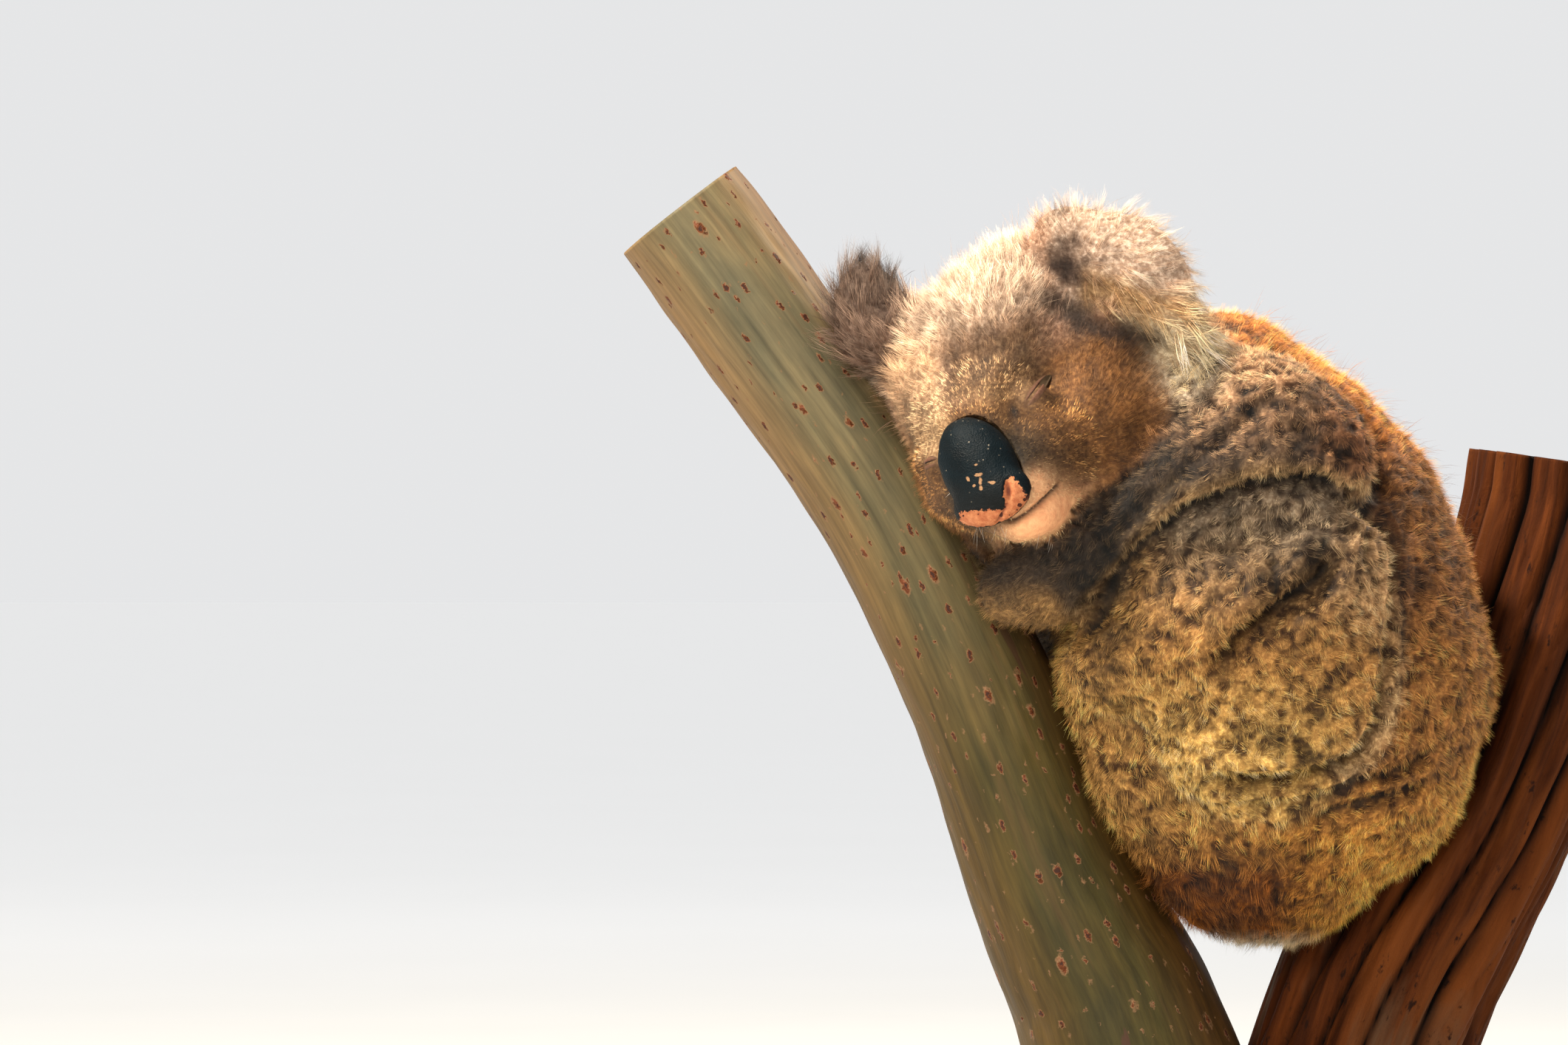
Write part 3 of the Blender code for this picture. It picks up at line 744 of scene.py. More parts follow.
# How deep the hide lies under the coat. It makes room for the limb where the animal leans on it.
normals = normals_of(hide)
depth = 0.0062 * torso + 0.0052 * arms + 0.0056 * legs + 0.0026 * paws + 0.005 * ears
depth += on_the_head * (0.006 - 0.0042 * face)
depth = spread(depth, edges, 12) + fold_sink * 0.0008 - puff * 0.00022
depth -= 0.013 * near((-0.106, -0.045, 0.565), 0.023) * on_the_head + 0.0035 * ear_right
flat_places = places * (1, 0, 1)
to_limb = distance_to_path(flat_places, [(-0.082, 0, 0.345), (-0.068, 0, 0.29), (-0.046, 0, 0.25)])
depth -= 0.0085 * bell(to_limb, 0.018) * (torso + legs)
depth -= 0.007 * near((-0.092, -0.05, 0.588), 0.02) * (on_the_head + ears)
to_cheek = distance_to_path(flat_places, [(-0.17, 0, 0.505), (-0.162, 0, 0.47), (-0.148, 0, 0.438)])
depth -= 0.0075 * bell(to_cheek, 0.014) * on_the_head
places = places - normals * depth[:, None]
places = spread(places, edges, 3, keep=np.clip(face + paws, 0, 0.9)[:, None])
# The wool is crimped: small lumps a few mm across, higher, with the colour later made paler on
# them and darker in the gaps between, as painted light and shade.
crimp = np.array([noise.noise(Vector(p) * 190) + 0.35 * noise.noise(Vector(p) * 95) for p in places])
crimp = np.clip(0.5 + crimp * 1.1, 0, 1)
woolly_part = np.clip(arms + legs + torso + 0.3 * on_the_head * (1 - face), 0, 1)
places = places + normals * ((crimp - 0.5) * woolly_part * 0.0022)[:, None]
move(hide, places)
normals = normals_of(hide)
tree = BVHTree.FromObject(hide, bpy.context.evaluated_depsgraph_get())


def oval(points, x, z, long, short, lean=0.0):
    """1 at the middle of an oval across (x, z), in mm, falling smoothly to 0 past its edge."""
    dx, dz = points[:, 0] * MM - x, points[:, 2] * MM - z
    c, s = cos(radians(lean)), sin(radians(lean))
    return bell(np.hypot((dx * c + dz * s) / long, (dz * c - dx * s) / short), 1.0)


def facing_lens(start, width):
    """1 where the hide faces the near side, falling to 0 where its normal turns past `start`."""
    return rise(normals[:, 1], start, -width)


# The mouth: a groove that leaves the cleft under the nose and climbs to the corner, with a
# full chin below it and a shallow socket round each eye.
near_side = on_the_head * facing_lens(0.1, 0.3)
MOUTH = (
    (-114, 432), (-113, 426), (-109, 426), (-105, 428.5), (-99, 432.5), (-94, 437), (-89, 441.5), (-85, 445),
)
from_mouth = from_line(MOUTH)
chin = oval(places, -92, 429, 20, 9, 29) * near_side
upper_lip = oval(places, -97, 445, 9, 7, 40) * near_side
sink = -2.4 * bell(from_mouth, 1.5) + 3.4 * chin * np.clip(from_mouth / 4, 0, 1) + 1.4 * upper_lip
eye_left, eye_right = on_the_near_side(-95.6, 495.5), on_the_near_side(-154, 457)
from_eye = np.minimum(from_spot(eye_left), from_spot(eye_right)) * MM
sink += on_the_head * (-2.6 * bell(from_eye - 14, 8) + 1.0 * bell(from_eye, 8))
places = places + normals * (sink * 0.001)[:, None]
move(hide, places)
normals = normals_of(hide)
upward = head_places(places)[2]
tree = BVHTree.FromObject(hide, bpy.context.evaluated_depsgraph_get())

# The pelt's markings, with sunlight, shade and shadows painted among them: where each colour
# lies, from the tail's end up and then the head.
px, py, height = places.T
dx, dz = px * MM, height * MM
ahead = rise(px, 0.045, -0.06) * rise(height, 0.42, -0.05)
low_leg = rise(height, 0.35, -0.05)
underside = rise(height, 0.264, -0.03) * rise(px, 0.092, -0.06)
arm_edge = from_line(ARM_EDGE)
KNEE_RIM = ((79, 437), (92, 425), (98, 405), (97, 378), (95, 348), (86, 318), (71, 298))
knee_rim = from_line(KNEE_RIM)
# Behind the knee, where a painted rim light goes.
knee_back_rim_light = rise(px, 0.06, 0.02) * rise(height, 0.355, 0.03)
# Where sunlight falls on the near side of the head and where the brow shades it, and the shadow under the
# chin: painted light, shade and shadow in the pelt.
sunlit = rise(height - 0.528 - 0.35 * (px + 0.105), 0, 0.014)
sunlit = np.maximum(sunlit, rise(px, -0.14, -0.01) * rise(height, 0.455, 0.01))
sunlit, in_shade = near_side * sunlit, near_side * (1 - sunlit)
shadow_under_chin = distance_to_path(flat_places, [(-0.128, 0, 0.408), (-0.1, 0, 0.402)])
ragged = np.array([noise.noise(Vector(p) * 150) for p in places])
around_hollow = np.hypot((dx + 79.5) / 8.0, (dz - 563) / 12.5) * (1 + 0.9 * ragged)
hollow = bell(around_hollow, 1.0)
# A painted shadow under the ear's fringe, along this line.
UNDER_EAR_SHADOW = [(-0.086, 0, 0.546), (-0.075, 0, 0.537), (-0.06, 0, 0.53), (-0.036, 0, 0.523)]
shadow_under_ear = bell(distance_to_path(flat_places, UNDER_EAR_SHADOW), 0.0075)
ear_side = facing_lens(0.1, 0.3) * (ears + on_the_head)
ruff = bell(np.hypot((dx + 13) / 15, (dz - 517) / 18), 1.0) * facing_lens(0.3, 0.3)
fringe = ear_left * rise(dx, -76, 6) * rise(568 - 0.35 * (dx + 70) - dz, 0, 10)
far_ear_rim_light = rise(from_spot((-0.182, -0.02, 0.544)), 0.019, 0.01)
lip = np.clip(chin * 1.5, 0, 1)
MARKINGS_AND_PAINTED_LIGHT = (
    # the back and the rump, warmed partly with painted sunlight, and the belly
    ((0.78, 0.285, 0.06), torso * rise(height, 0.45, 0.04)),
    ((0.48, 0.22, 0.056), torso * rise(height, 0.385, -0.04)),
    ((0.72, 0.345, 0.062), torso * rise(height, 0.3, -0.06)),
    ((0.6, 0.35, 0.105), torso * ahead * 0.8),
    # the arms and paws, darker on the near side partly as painted shade, with a painted sunlit shoulder
    ((0.035, 0.0222, 0.013), arms + paws),
    ((0.17, 0.11, 0.06), (arms + paws) * rise(py, 0.02, 0.03)),
    ((0.78, 0.46, 0.25), (arms + torso) * near((0.022, -0.09, 0.508), 0.036)),
    ((0.3, 0.128, 0.052), arms * rise(px, 0.045, 0.03) * 0.85),
    # the legs: grey at the knee, golden below, the gold partly painted sunlight
    ((0.21, 0.16, 0.105), legs),
    ((0.54, 0.285, 0.084), legs * rise(height, 0.42, -0.06)),
    ((1.0, 0.64, 0.19), legs * low_leg * rise(px, 0.085, -0.05)),
    ((0.36, 0.2, 0.06), legs * rise(px, -0.02, -0.03) * (1 - low_leg)),
    # underneath, and the white of the tail's end
    ((0.15, 0.044, 0.001), (torso + legs) * underside),
    ((0.7, 0.62, 0.46), torso * rise(height, 0.204, -0.01)),
    ((0.195, 0.11, 0.038), paws * rise(height, 0.395, -0.015)),
    # the pale edge under the arm, a painted rim light along the knee with a painted shadow beside
    # it, painted sunlight on the leg's top, and a painted rim light behind the knee
    ((0.66, 0.44, 0.215), arms * bell(arm_edge - 8, 7) * 0.9),
    ((1.0, 0.7, 0.36), legs * bell(knee_rim - 8, 6) * 0.9),
    ((0.085, 0.032, 0.01), torso * bell(knee_rim, 11) * 0.9),
    ((0.34, 0.26, 0.175), legs * rise(height, 0.416, 0.015)),
    ((0.78, 0.49, 0.24), legs * knee_back_rim_light * 0.85),
    # the cheeks, the crown warmed partly with painted sunlight, and the dark face
    ((0.235, 0.105, 0.031), on_the_head),
    ((0.68, 0.45, 0.345), on_the_head * rise(upward, 12, 30)),
    ((0.029, 0.0187, 0.0088), face * rise(upward, 30, -26)),
    # painted sunlight on the near side of the head, painted shade under the brow, and a painted shadow under
    # the chin
    ((0.56, 0.37, 0.205), sunlit * rise(height, 0.59, -0.02) * 0.75),
    ((0.76, 0.59, 0.46), sunlit * rise(height, 0.512, 0.02) * rise(height, 0.6, -0.02) * 0.8),
    ((0.205, 0.118, 0.055), in_shade * rise(height, 0.484, 0.01) * rise(px, -0.084, -0.016) * 0.9),
    ((0.02, 0.013, 0.008), (torso + on_the_head) * bell(shadow_under_chin, 0.012)),
    # the near ear, pale partly with painted sunlight, its fringe, the ruff behind it, and painted
    # shade in its hollow and under its fringe
    ((0.94, 0.72, 0.56), ear_left),
    ((0.8, 0.64, 0.4), ear_left * rise(upward, 14, -16)),
    ((1.0, 0.92, 0.72), ruff * 1.8),
    ((0.62, 0.4, 0.195), fringe),
    ((0.98, 0.85, 0.6), ear_left * rise(dz, 542, -12)),
    ((0.7, 0.45, 0.31), ear_left * rise(dx, -86, -5)),
    ((0.12, 0.055, 0.028), 0.94 * bell(around_hollow / 1.6, 1.0) * ear_side),
    ((0.025, 0.012, 0.007), np.maximum(hollow, 0.92 * shadow_under_ear) * ear_side),
    # the far ear, darkened with painted shade, and a painted rim light on its edge
    ((0.038, 0.022, 0.014), ear_right),
    ((0.2, 0.13, 0.095), ear_right * far_ear_rim_light),
    # the lips, painted shade on the side of the muzzle, the stain behind the mouth and the eye's corner
    ((0.64, 0.46, 0.27), upper_lip),
    ((0.82, 0.56, 0.29), lip),
    ((0.014, 0.01, 0.006), oval(places, -91, 464, 15, 10) * near_side * 0.5),
    ((0.05, 0.025, 0.013), oval(places, -72, 446, 7, 4, 20) * near_side),
    ((0.022, 0.017, 0.015), oval(places, -108.6, 484.7, 2.4, 4.0, 20) * near_side),
)
pelt = np.array((0.3, 0.128, 0.036))
for colour, share in MARKINGS_AND_PAINTED_LIGHT:
    share = np.clip(share, 0, 1)[:, None]
    pelt = pelt * (1 - share) + np.array(colour) * share
hollow = np.maximum(hollow, 0.8 * shadow_under_ear) * ear_side
# The folds are darkened: painted shade in their creases.
pelt *= 1 - 0.93 * np.clip(fold, 0, 1)[:, None]
clumps = np.array([noise.noise(Vector(p) * 75) + 0.6 * noise.noise(Vector(p) * 160) for p in places])
pelt *= 1 + ((0.45 + 0.3 * woolly_part + 0.35 * arms) * clumps)[:, None]
store(hide, "pelt", np.hstack([pelt, np.ones((len(pelt), 1))]), "FLOAT_COLOR")
store(hide, "lip", np.clip(lip + upper_lip * 0.6, 0, 1))
store(hide, "slit", bell(from_mouth, 1.3))
store(hide, "crimp", crimp * woolly_part + 0.8 * (1 - woolly_part))
store(hide, "short_hair", np.clip(face + paws, 0, 1))

skin = Finish("hide", 0.75, Specular_IOR_Level=0.25)
speck = skin.grain(420, 3, 0.6)
skin.lay(skin.attribute("pelt", "Color"))
skin.cover(speck, 0.35, 0.6, (0.45, 0.38, 0.32), blend="MULTIPLY")
short_tone = skin.tone
skin.lay(skin.attribute("pelt", "Color"))
# The hide under the coat is darkened, most in the crimp's gaps: painted shade deep in the wool.
skin.shade(skin.attribute("crimp"), (0.15, (0.14, 0.11, 0.09)), (0.75, (0.85, 0.85, 0.85)))
skin.cover(speck, 0.25, 0.55, (0.42, 0.36, 0.32), blend="MULTIPLY")
skin.stain("short_hair", short_tone)
pink = skin.ramp(skin.grain(260, 3, 0.6), (0.35, (0.7, 0.31, 0.15)), (0.65, (0.82, 0.42, 0.21)))
skin.stain("lip", pink)
skin.stain("slit", (0.035, 0.016, 0.012))
skin.bump(skin.grain(520, 4, 0.6), 0.0006)
dress(hide, skin)

# The hide's own unwrap: each tuft later takes its place on it.
bpy.ops.object.select_all(action="DESELECT")
bpy.context.view_layer.objects.active = hide
hide.select_set(True)
hide.data.uv_layers.new(name="OFBake")
bpy.ops.object.mode_set(mode="EDIT")
bpy.ops.mesh.select_all(action="SELECT")
bpy.ops.uv.smart_project(angle_limit=radians(70), island_margin=0.002, scale_to_bounds=True)
bpy.ops.object.mode_set(mode="OBJECT")
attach(hide, "root")
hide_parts(*COVERED)

# ------------------------ the nose
# A big leathery pad: slate black, finely grained, worn to tan in the middle, and pink where
# it has no pigment round the nostrils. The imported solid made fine, smoothed and carved.
NOSE_GRAIN = 0.0009
NOSE_MIDDLE = np.array((-0.1265, -0.124, 0.452))
NOSE_SWELL = (1.13, 1.05, 1.03)
# The pink patches' outlines and the cleft, as (x, z) in mm.
NOSTRIL_PINK = (
    (-115.6, 441.7), (-114.6, 446.5), (-112.5, 449.5), (-109.8, 448.8), (-107.8, 446.8),
    (-105.6, 443.6), (-103.9, 440.1), (-101.5, 436.5), (-103, 431.5), (-106.2, 428.6),
    (-110.2, 428.0), (-114.1, 431.3), (-114.8, 437),
)
LOWER_PINK = (
    (-137.5, 430.2), (-130.5, 431.8), (-120.3, 432.0), (-114.1, 431.9), (-111.0, 427.5), (-112.5, 420.0),
    (-120.3, 416.0), (-130.0, 416.0), (-140.0, 420.0),
)
CLEFT = ((-113.6, 434), (-114.6, 431), (-117.2, 426), (-118.5, 420))


def to_outline(points, outline):
    """Signed distance in mm across (x, z) to a closed outline, positive inside it."""
    flat = points[:, [0, 2]] * MM
    x, z = flat.T
    closed = (*outline, outline[0])
    inside = np.zeros(len(flat), bool)
    for (ax, az), (bx, bz) in zip(closed, closed[1:]):
        if az != bz:
            inside ^= ((az > z) != (bz > z)) & (x < (bx - ax) * (z - az) / (bz - az) + ax)
    return np.where(inside, 1, -1) * distance_to_path(flat, closed)


nose = fused("nose_pad", ["nose"], NOSE_GRAIN)
move(nose, spread(places_of(nose), edges_of(nose), 14))
spots, facing = places_of(nose), normals_of(nose)
spots = NOSE_MIDDLE + (spots - NOSE_MIDDLE) * NOSE_SWELL + (-0.0006, -0.0005, 0.0)
toward_view = rise(facing[:, 1], 0.25, -0.4)
pink = np.maximum(to_outline(spots, NOSTRIL_PINK), to_outline(spots, LOWER_PINK))
pink = pink * toward_view - 1.2 * (1 - toward_view)
nostril = oval(spots, -112.6, 442.0, 2.0, 5.6, 8) * toward_view
cleft = bell(distance_to_path(spots[:, [0, 2]] * MM, CLEFT), 1.2) * toward_view
step = np.clip(pink, -1.0, 1.0)
carve = -3.6 * nostril - 1.6 * cleft - 0.45 * (step + 1) / 2 + 0.5 * bell(pink + 0.8, 0.9)
before_carving = spots
spots = spots + facing * (carve * 0.001)[:, None]
move(nose, spots)
SPOTS = (  # dark spots on the pink: (x, z) and radius in mm
    (-106.2, 434.2, 1.6), (-103.6, 437.2, 1.3), (-101.2, 438.6, 2.2), (-116.2, 428.2, 1.7),
    (-117.4, 423.6, 1.6), (-119.5, 422.2, 1.2), (-104.5, 441.8, 0.9), (-128.6, 429.3, 0.6),
    (-107.6, 431.6, 0.7), (-136.6, 428.6, 0.8), (-125, 421.2, 1.1),
)
WORN = (  # worn places: (x, z), half the length and the width in mm, and lean in degrees
    (-128.4, 450.6, 2.2, 1.2, 10), (-127.6, 447.2, 1.1, 2.2, 0), (-134.0, 448.2, 1.0, 1.6, 30),
    (-127.2, 443.4, 1.0, 1.7, 20), (-129.8, 456.0, 1.3, 0.8, 0), (-121.5, 446.5, 2.6, 1.2, 0),
    (-130.8, 444.8, 1.4, 0.9, 40),
)
spotted = [oval(before_carving, x, z, radius, radius * 0.8, x * 7) for x, z, radius in SPOTS]
worn = [oval(before_carving, *patch) for patch in WORN]
store(nose, "pink", pink)
store(nose, "deep", np.clip(nostril + 0.8 * cleft, 0, 1))
store(nose, "spotted", np.max(spotted, axis=0) * toward_view)
store(nose, "worn", np.max(worn, axis=0) * toward_view)

leather = Finish("nose_leather", 0.52, Specular_IOR_Level=0.1)
cloud = leather.grain(70, 4, 0.6)
rag = leather.maths("SUBTRACT", leather.grain(430, 4, 0.65), 0.5)


def ragged_edge(attribute, amount):
    """A patch's attribute with its edge made ragged."""
    return leather.maths("ADD", leather.attribute(attribute), leather.maths("MULTIPLY", rag, amount))


rosy = leather.ramp(leather.grain(330, 3, 0.6), (0.35, (0.36, 0.105, 0.044)), (0.65, (0.52, 0.205, 0.09)))
rosy = leather.mix(leather.mask(leather.attribute("deep"), 0.35, 0.95), rosy, (0.16, 0.045, 0.03))
leather.base(
    cloud, (0.3, (0.001, 0.003, 0.0042)), (0.55, (0.0018, 0.0056, 0.008)), (0.75, (0.0045, 0.009, 0.0125)),
)
leather.cover(leather.axis(leather.place(), "Z"), 0.45, 0.434, (0.01, 0.008, 0.006), 0.4)
leather.cover(leather.cells(260.0), 0.13, 0.06, (0.3, 0.25, 0.19), leather.mask(cloud, 0.45, 0.62))
leather.cover(leather.maths("ADD", leather.attribute("worn"), rag), 0.42, 0.62, (0.3, 0.165, 0.085))
leather.cover(ragged_edge("pink", 6.0), -0.15, 0.15, rosy)
leather.cover(ragged_edge("spotted", 0.6), 0.42, 0.52, (0.055, 0.016, 0.012))
leather.rough(cloud, 0.46, 0.66)
leather.bump(leather.cells(1100.0), 0.00022)
leather.bump(leather.grain(240, 3), 0.00035)
dress(nose, leather)
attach(nose, "root")
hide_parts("nose")

# ------------------------ the eyelids
# Both eyes are shut: a thin dark line between two soft bare lids, pinkish brown. Each is a
# small closed cushion laid on the hide, with the line pressed into it.
LID_RINGS, LID_SPOKES = 22, 56
lid_skin = Finish("eyelid_skin", 0.7, Specular_IOR_Level=0.15)
lid_skin.base(lid_skin.grain(620, 3, 0.6), (0.35, (0.11, 0.046, 0.028)), (0.65, (0.175, 0.08, 0.05)))
lid_skin.stain("edge", (0.06, 0.036, 0.018))
lid_skin.cover(lid_skin.attribute("line"), 0.16, 0.45, (0.006, 0.003, 0.002))
lid_skin.bump(lid_skin.grain(900, 3, 0.6), 0.0002)


def face_outward(obj):
    bm = bmesh.new()
    bm.from_mesh(obj.data)
    bmesh.ops.recalc_face_normals(bm, faces=bm.faces)
    bm.to_mesh(obj.data)
    bm.free()


def eyelid(name, centre, along, long, wide, node, side_on):
    """An oval cushion round `centre`, its shut line running `along`. `long` and `wide` are mm
    each way from the middle, as seen from the side or along the skin."""
    base, outward = (np.array(v) for v in tree.find_nearest(Vector(centre))[:2])
    along = np.array(along) - (0 if side_on else outward * np.dot(along, outward))
    along /= np.linalg.norm(along)
    across = np.cross((0, -1, 0) if side_on else outward, along)
    points, line, edge = [], [], []
    for r in range(LID_RINGS + 1):
        for k in range(LID_SPOKES if r else 1):
            share = r / LID_RINGS
            turn = 2 * pi * k / LID_SPOKES
            a, b = long * share * cos(turn), wide * share * sin(turn)
            spot = base + (a * along + b * across) * 0.001
            if side_on:
                spot = on_the_near_side(spot[0] * MM, spot[2] * MM)
            else:
                spot = np.array(tree.find_nearest(Vector(spot))[0])
            bow = b - 0.6 * (1 - (a / long) ** 2)
            mound = 1.2 * (1 - share**2) ** 0.8 - 1.1 * share**6
            crease = exp(-((bow / 0.95) ** 2)) * max(0, 1 - (abs(a) / (0.86 * long)) ** 4)
            fold_line = exp(-(((abs(b) - 0.62 * wide) / 0.5) ** 2)) * (1 - share**4)
            lift = mound - 2.0 * crease - 0.3 * fold_line
            points.append(spot + outward * lift * 0.001)
            line.append(crease)
            edge.append(share**2)
    back = len(points)
    points.append(base - outward * 0.005)
    line.append(0)
    edge.append(1)
    ring = np.arange(1, back).reshape(LID_RINGS, LID_SPOKES)
    turned = np.roll(ring, -1, axis=1)
    faces = [(0, a, b) for a, b in zip(ring[0], turned[0])]
    faces += np.stack([ring[:-1], ring[1:], turned[1:], turned[:-1]], axis=-1).reshape(-1, 4).tolist()
    faces += [(back, b, a) for a, b in zip(ring[-1], turned[-1])]
    lid = mesh_of(name, points, faces, lid_skin.material)
    face_outward(lid)
    store(lid, "line", line)
    store(lid, "edge", edge)
    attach(lid, "root")
    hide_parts(node)
    return along


slit = eyelid("eyelid_left", eye_left, (cos(radians(51)), 0.0, sin(radians(51))), 12.6, 4.3, "lid_left", True)
slit_right = np.array(HEAD_AXES) @ ((np.array(HEAD_AXES).T @ slit) * (-1, 1, 1))
slit_right = eyelid("eyelid_right", eye_right, slit_right, 9.6, 4.4, "lid_right", False)

# ------------------------ the claws
# Long, dark, curved horn, one to each digit but the first toes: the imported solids, made
# fine and smooth, and finely streaked along their length.
CLAW_GRAIN = 0.0008
CLAWS = [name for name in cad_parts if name.startswith("claw_")]
claws = fused("claws", CLAWS, CLAW_GRAIN)
move(claws, spread(places_of(claws), edges_of(claws), 4))
horn = Finish("claw_horn", 0.38, Coat_Weight=0.15)
horn_streak = horn.grain(420, 4, 0.6, stretch=(1, 1, 0.3))
horn.base(horn_streak, (0.3, (0.02, 0.014, 0.01)), (0.7, (0.085, 0.06, 0.042)))
horn.bump(horn_streak, 0.0002)
dress(claws, horn)
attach(claws, "root")
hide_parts(*CLAWS)

# ------------------------ the whiskers
# A few fine pale bristles under the nose and on the chin, each a thin curved spike of hair,
# rooted in the hide.
WHISKER_RADIUS = 0.00012
WHISKER_SPANS = 4
WHISKERS = (  # (x, z) in mm, how many, how long in metres, and how far they fall
    (-126, 424, 4, 0.014, -1.0), (-118, 423, 3, 0.012, -1.0), (-90, 418, 4, 0.009, -0.9),
    (-137, 444, 3, 0.012, -0.3),
)


def spike_faces(first, spans):
    """The faces of a three-sided spike whose rings start at `first`, closed at its root."""
    faces = []
    last = first + 3 * (spans - 1)
    for ring in range(first, last + 1, 3):
        for corner in range(3):
            a, b = ring + corner, ring + (corner + 1) % 3
            faces.append((a, b, b + 3, a + 3) if ring < last else (a, b, ring + 3))
    return [*faces, (first + 2, first + 1, first)]


def whiskers():
    dice = np.random.default_rng(71)
    points, faces = [], []
    for x, z, count, length, fall in WHISKERS:
        for _ in range(count):
            root = on_the_near_side(x + dice.uniform(-6, 6), z + dice.uniform(-2, 2))
            aim = np.array((dice.uniform(-0.7, 0.4), -0.35, fall))
            aim = aim / np.linalg.norm(aim) * length * dice.uniform(0.6, 1.1)
            sag = np.array((dice.uniform(-1, 1), 0, dice.uniform(-1, 0.6))) * length * 0.2
            faces += spike_faces(len(points), WHISKER_SPANS)
            for step in range(WHISKER_SPANS + 1):
                share = step / WHISKER_SPANS
                spot = root - np.array((0, -0.002, 0)) + aim * share + sag * share**2
                for corner in range(3 if step < WHISKER_SPANS else 1):
                    turn = 2 * pi * corner / 3
                    outward = np.array((cos(turn), 0, sin(turn))) * WHISKER_RADIUS
                    points.append(spot + outward * (1 - share * 0.8))
    return points, faces


bristle = Finish("pale_bristle", 0.4)
bristle.base(bristle.grain(300), (0.3, (0.55, 0.47, 0.38)), (0.7, (0.8, 0.74, 0.66)))
whisker_piece = mesh_of("whiskers", *whiskers(), bristle.material)
face_outward(whisker_piece)
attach(whisker_piece, "root")

# ------------------------ the coat
# Real fur, grown in tufts on the hide: a few spikes of hair that lean together, dark at the
# root, partly as its own colour and partly as painted shade deep in the coat, and pale at the tip.
# Geometry nodes scatter the tufts and lay them along the body.
ALONG_FRINGE = np.array((0.85, 0.0, -0.5))
COAT_DENSITY = 1.2e6
PATCH_SIZE = 0.003
NAP_EDGE = 74  # mm from the tip of the nose
RUMP_TOP = 0.335


def middle_of(name):
    low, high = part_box(name)
    return (np.array(low) + np.array(high)) / 2


def toward(share, direction):
    return share[:, None] * (np.array(direction) / np.linalg.norm(direction))


nose_tip = np.array(on_head(0.05, 0.0, -0.018))
from_nose_mm = from_spot(nose_tip) * MM
lie = on_the_head[:, None] * unit(places - nose_tip)
from_hollow = unit(places - np.array((-0.079, -0.085, 0.563)))
lie += ear_left[:, None] * (from_hollow * (1 - fringe[:, None]) + fringe[:, None] * ALONG_FRINGE)
lie += ear_right[:, None] * unit(places - np.array(on_head(-0.02, -0.055, 0.02)))
round_back = unit(np.stack([height - 0.35, 0 * height, 0.06 - px], axis=1), 1e-6)
belly_share = (rise(px, 0.06, -0.06) * rise(height, 0.42, -0.05))[:, None]
round_back = round_back * (1 - belly_share) + np.array((0.2, 0, -1)) * belly_share
lie += torso[:, None] * round_back
for side in ("left", "right"):
    upper, fore, hand, shank, foot = (
        middle_of(f"{part}_{side}") for part in ("upper_arm", "forearm", "hand", "shank", "foot")
    )
    for part, direction in (
        ("upper_arm", fore - upper),
        ("forearm", hand - fore),
        ("hand", hand - fore),
        ("thigh", (0.15, 0, -1)),
        ("shank", (-0.35, 0, -1)),
        ("foot", foot - shank),
    ):
        lie += toward(belongs(f"{part}_{side}"), direction)
lie = spread(lie, edges, 14)
lie = unit(lie - normals * np.sum(lie * normals, axis=1)[:, None], 1e-6)

# Hair length, in metres: shortest near the nose, round the eyes and on the lips.
low_body = rise(height, 0.3, -0.05)
reach = torso * (0.0076 + 0.0012 * low_body + 0.002 * ahead)
reach = reach + arms * 0.0072 + legs * (0.007 + 0.0008 * low_body)
short = rise(from_nose_mm, 92, -40)
reach += paws * 0.0075 + on_the_head * (0.0066 - 0.0032 * short + 0.004 * rise(upward, 34, 20))
reach += ear_left * (0.014 + 0.014 * fringe) * (1 - 0.7 * hollow) + ear_right * 0.019
reach = reach * (1 - 0.66 * lip) * (1 - 0.4 * upper_lip) * (1 - 0.55 * bell(from_eye, 13))
reach = np.clip(spread(reach, edges, 10) * (1 - 0.82 * fold), 0.0016, 0.03)
store(hide, "lie", lie, "FLOAT_VECTOR")
store(hide, "out", normals, "FLOAT_VECTOR")
store(hide, "reach", reach)
lid_gap = np.ones(len(places))
for eye, line, long, wide, seen in (
    (eye_left, slit, 0.015, 0.006, (1, 0, 1)), (eye_right, slit_right, 0.0125, 0.0064, (1, 1, 1)),
):
    offset = (places - eye) * seen
    offset -= 0.0012 * (nose_tip - eye) / np.linalg.norm(nose_tip - eye)
    lengthways = offset @ line
    crossways = np.sqrt(np.clip(np.sum(offset**2, axis=1) - lengthways**2, 0, 1))
    gap = np.hypot(lengthways / long, crossways / wide)
    lid_gap = np.where(from_spot(eye) < 0.03, np.minimum(lid_gap, gap), lid_gap)
bare = (lid_gap < 1) | (from_mouth < 1.5) | (lip > 0.7) | (fold > 0.72)

# Where each piece of the coat grows.
mostly = np.argmax(np.stack([on_the_head, ears, torso, arms, legs, paws]), axis=0)
head_part, ear_part, torso_part, arm_part, leg_part, paw_part = (mostly == k for k in range(6))
near_nose = from_nose_mm < NAP_EDGE
right_side = py > 0.03
behind = px >= 0.03
nape = torso_part & (height > 0.4) & (px > 0.02)
PLOTS = {
    "coat_face": head_part & near_nose,
    "coat_crown": head_part & ~near_nose & (upward > 6),
    "coat_cheeks": head_part & ~near_nose & (upward <= 6),
    "coat_ears": ear_part,
    "coat_back": torso_part & behind & (height > RUMP_TOP),
    "coat_rump": torso_part & behind & (height <= RUMP_TOP),
    "coat_belly": torso_part & ~behind,
    "coat_arm_left": arm_part & ~right_side,
    "coat_arm_right": arm_part & right_side,
    "coat_leg_left": leg_part & ~right_side,
    "coat_leg_right": leg_part & right_side,
    "coat_paws": paw_part,
    "coat_strays": (head_part & (upward > 24)) | ear_part | nape,
}
for name, plot in PLOTS.items():
    store(hide, "grow_" + name, plot * (1 - bare))


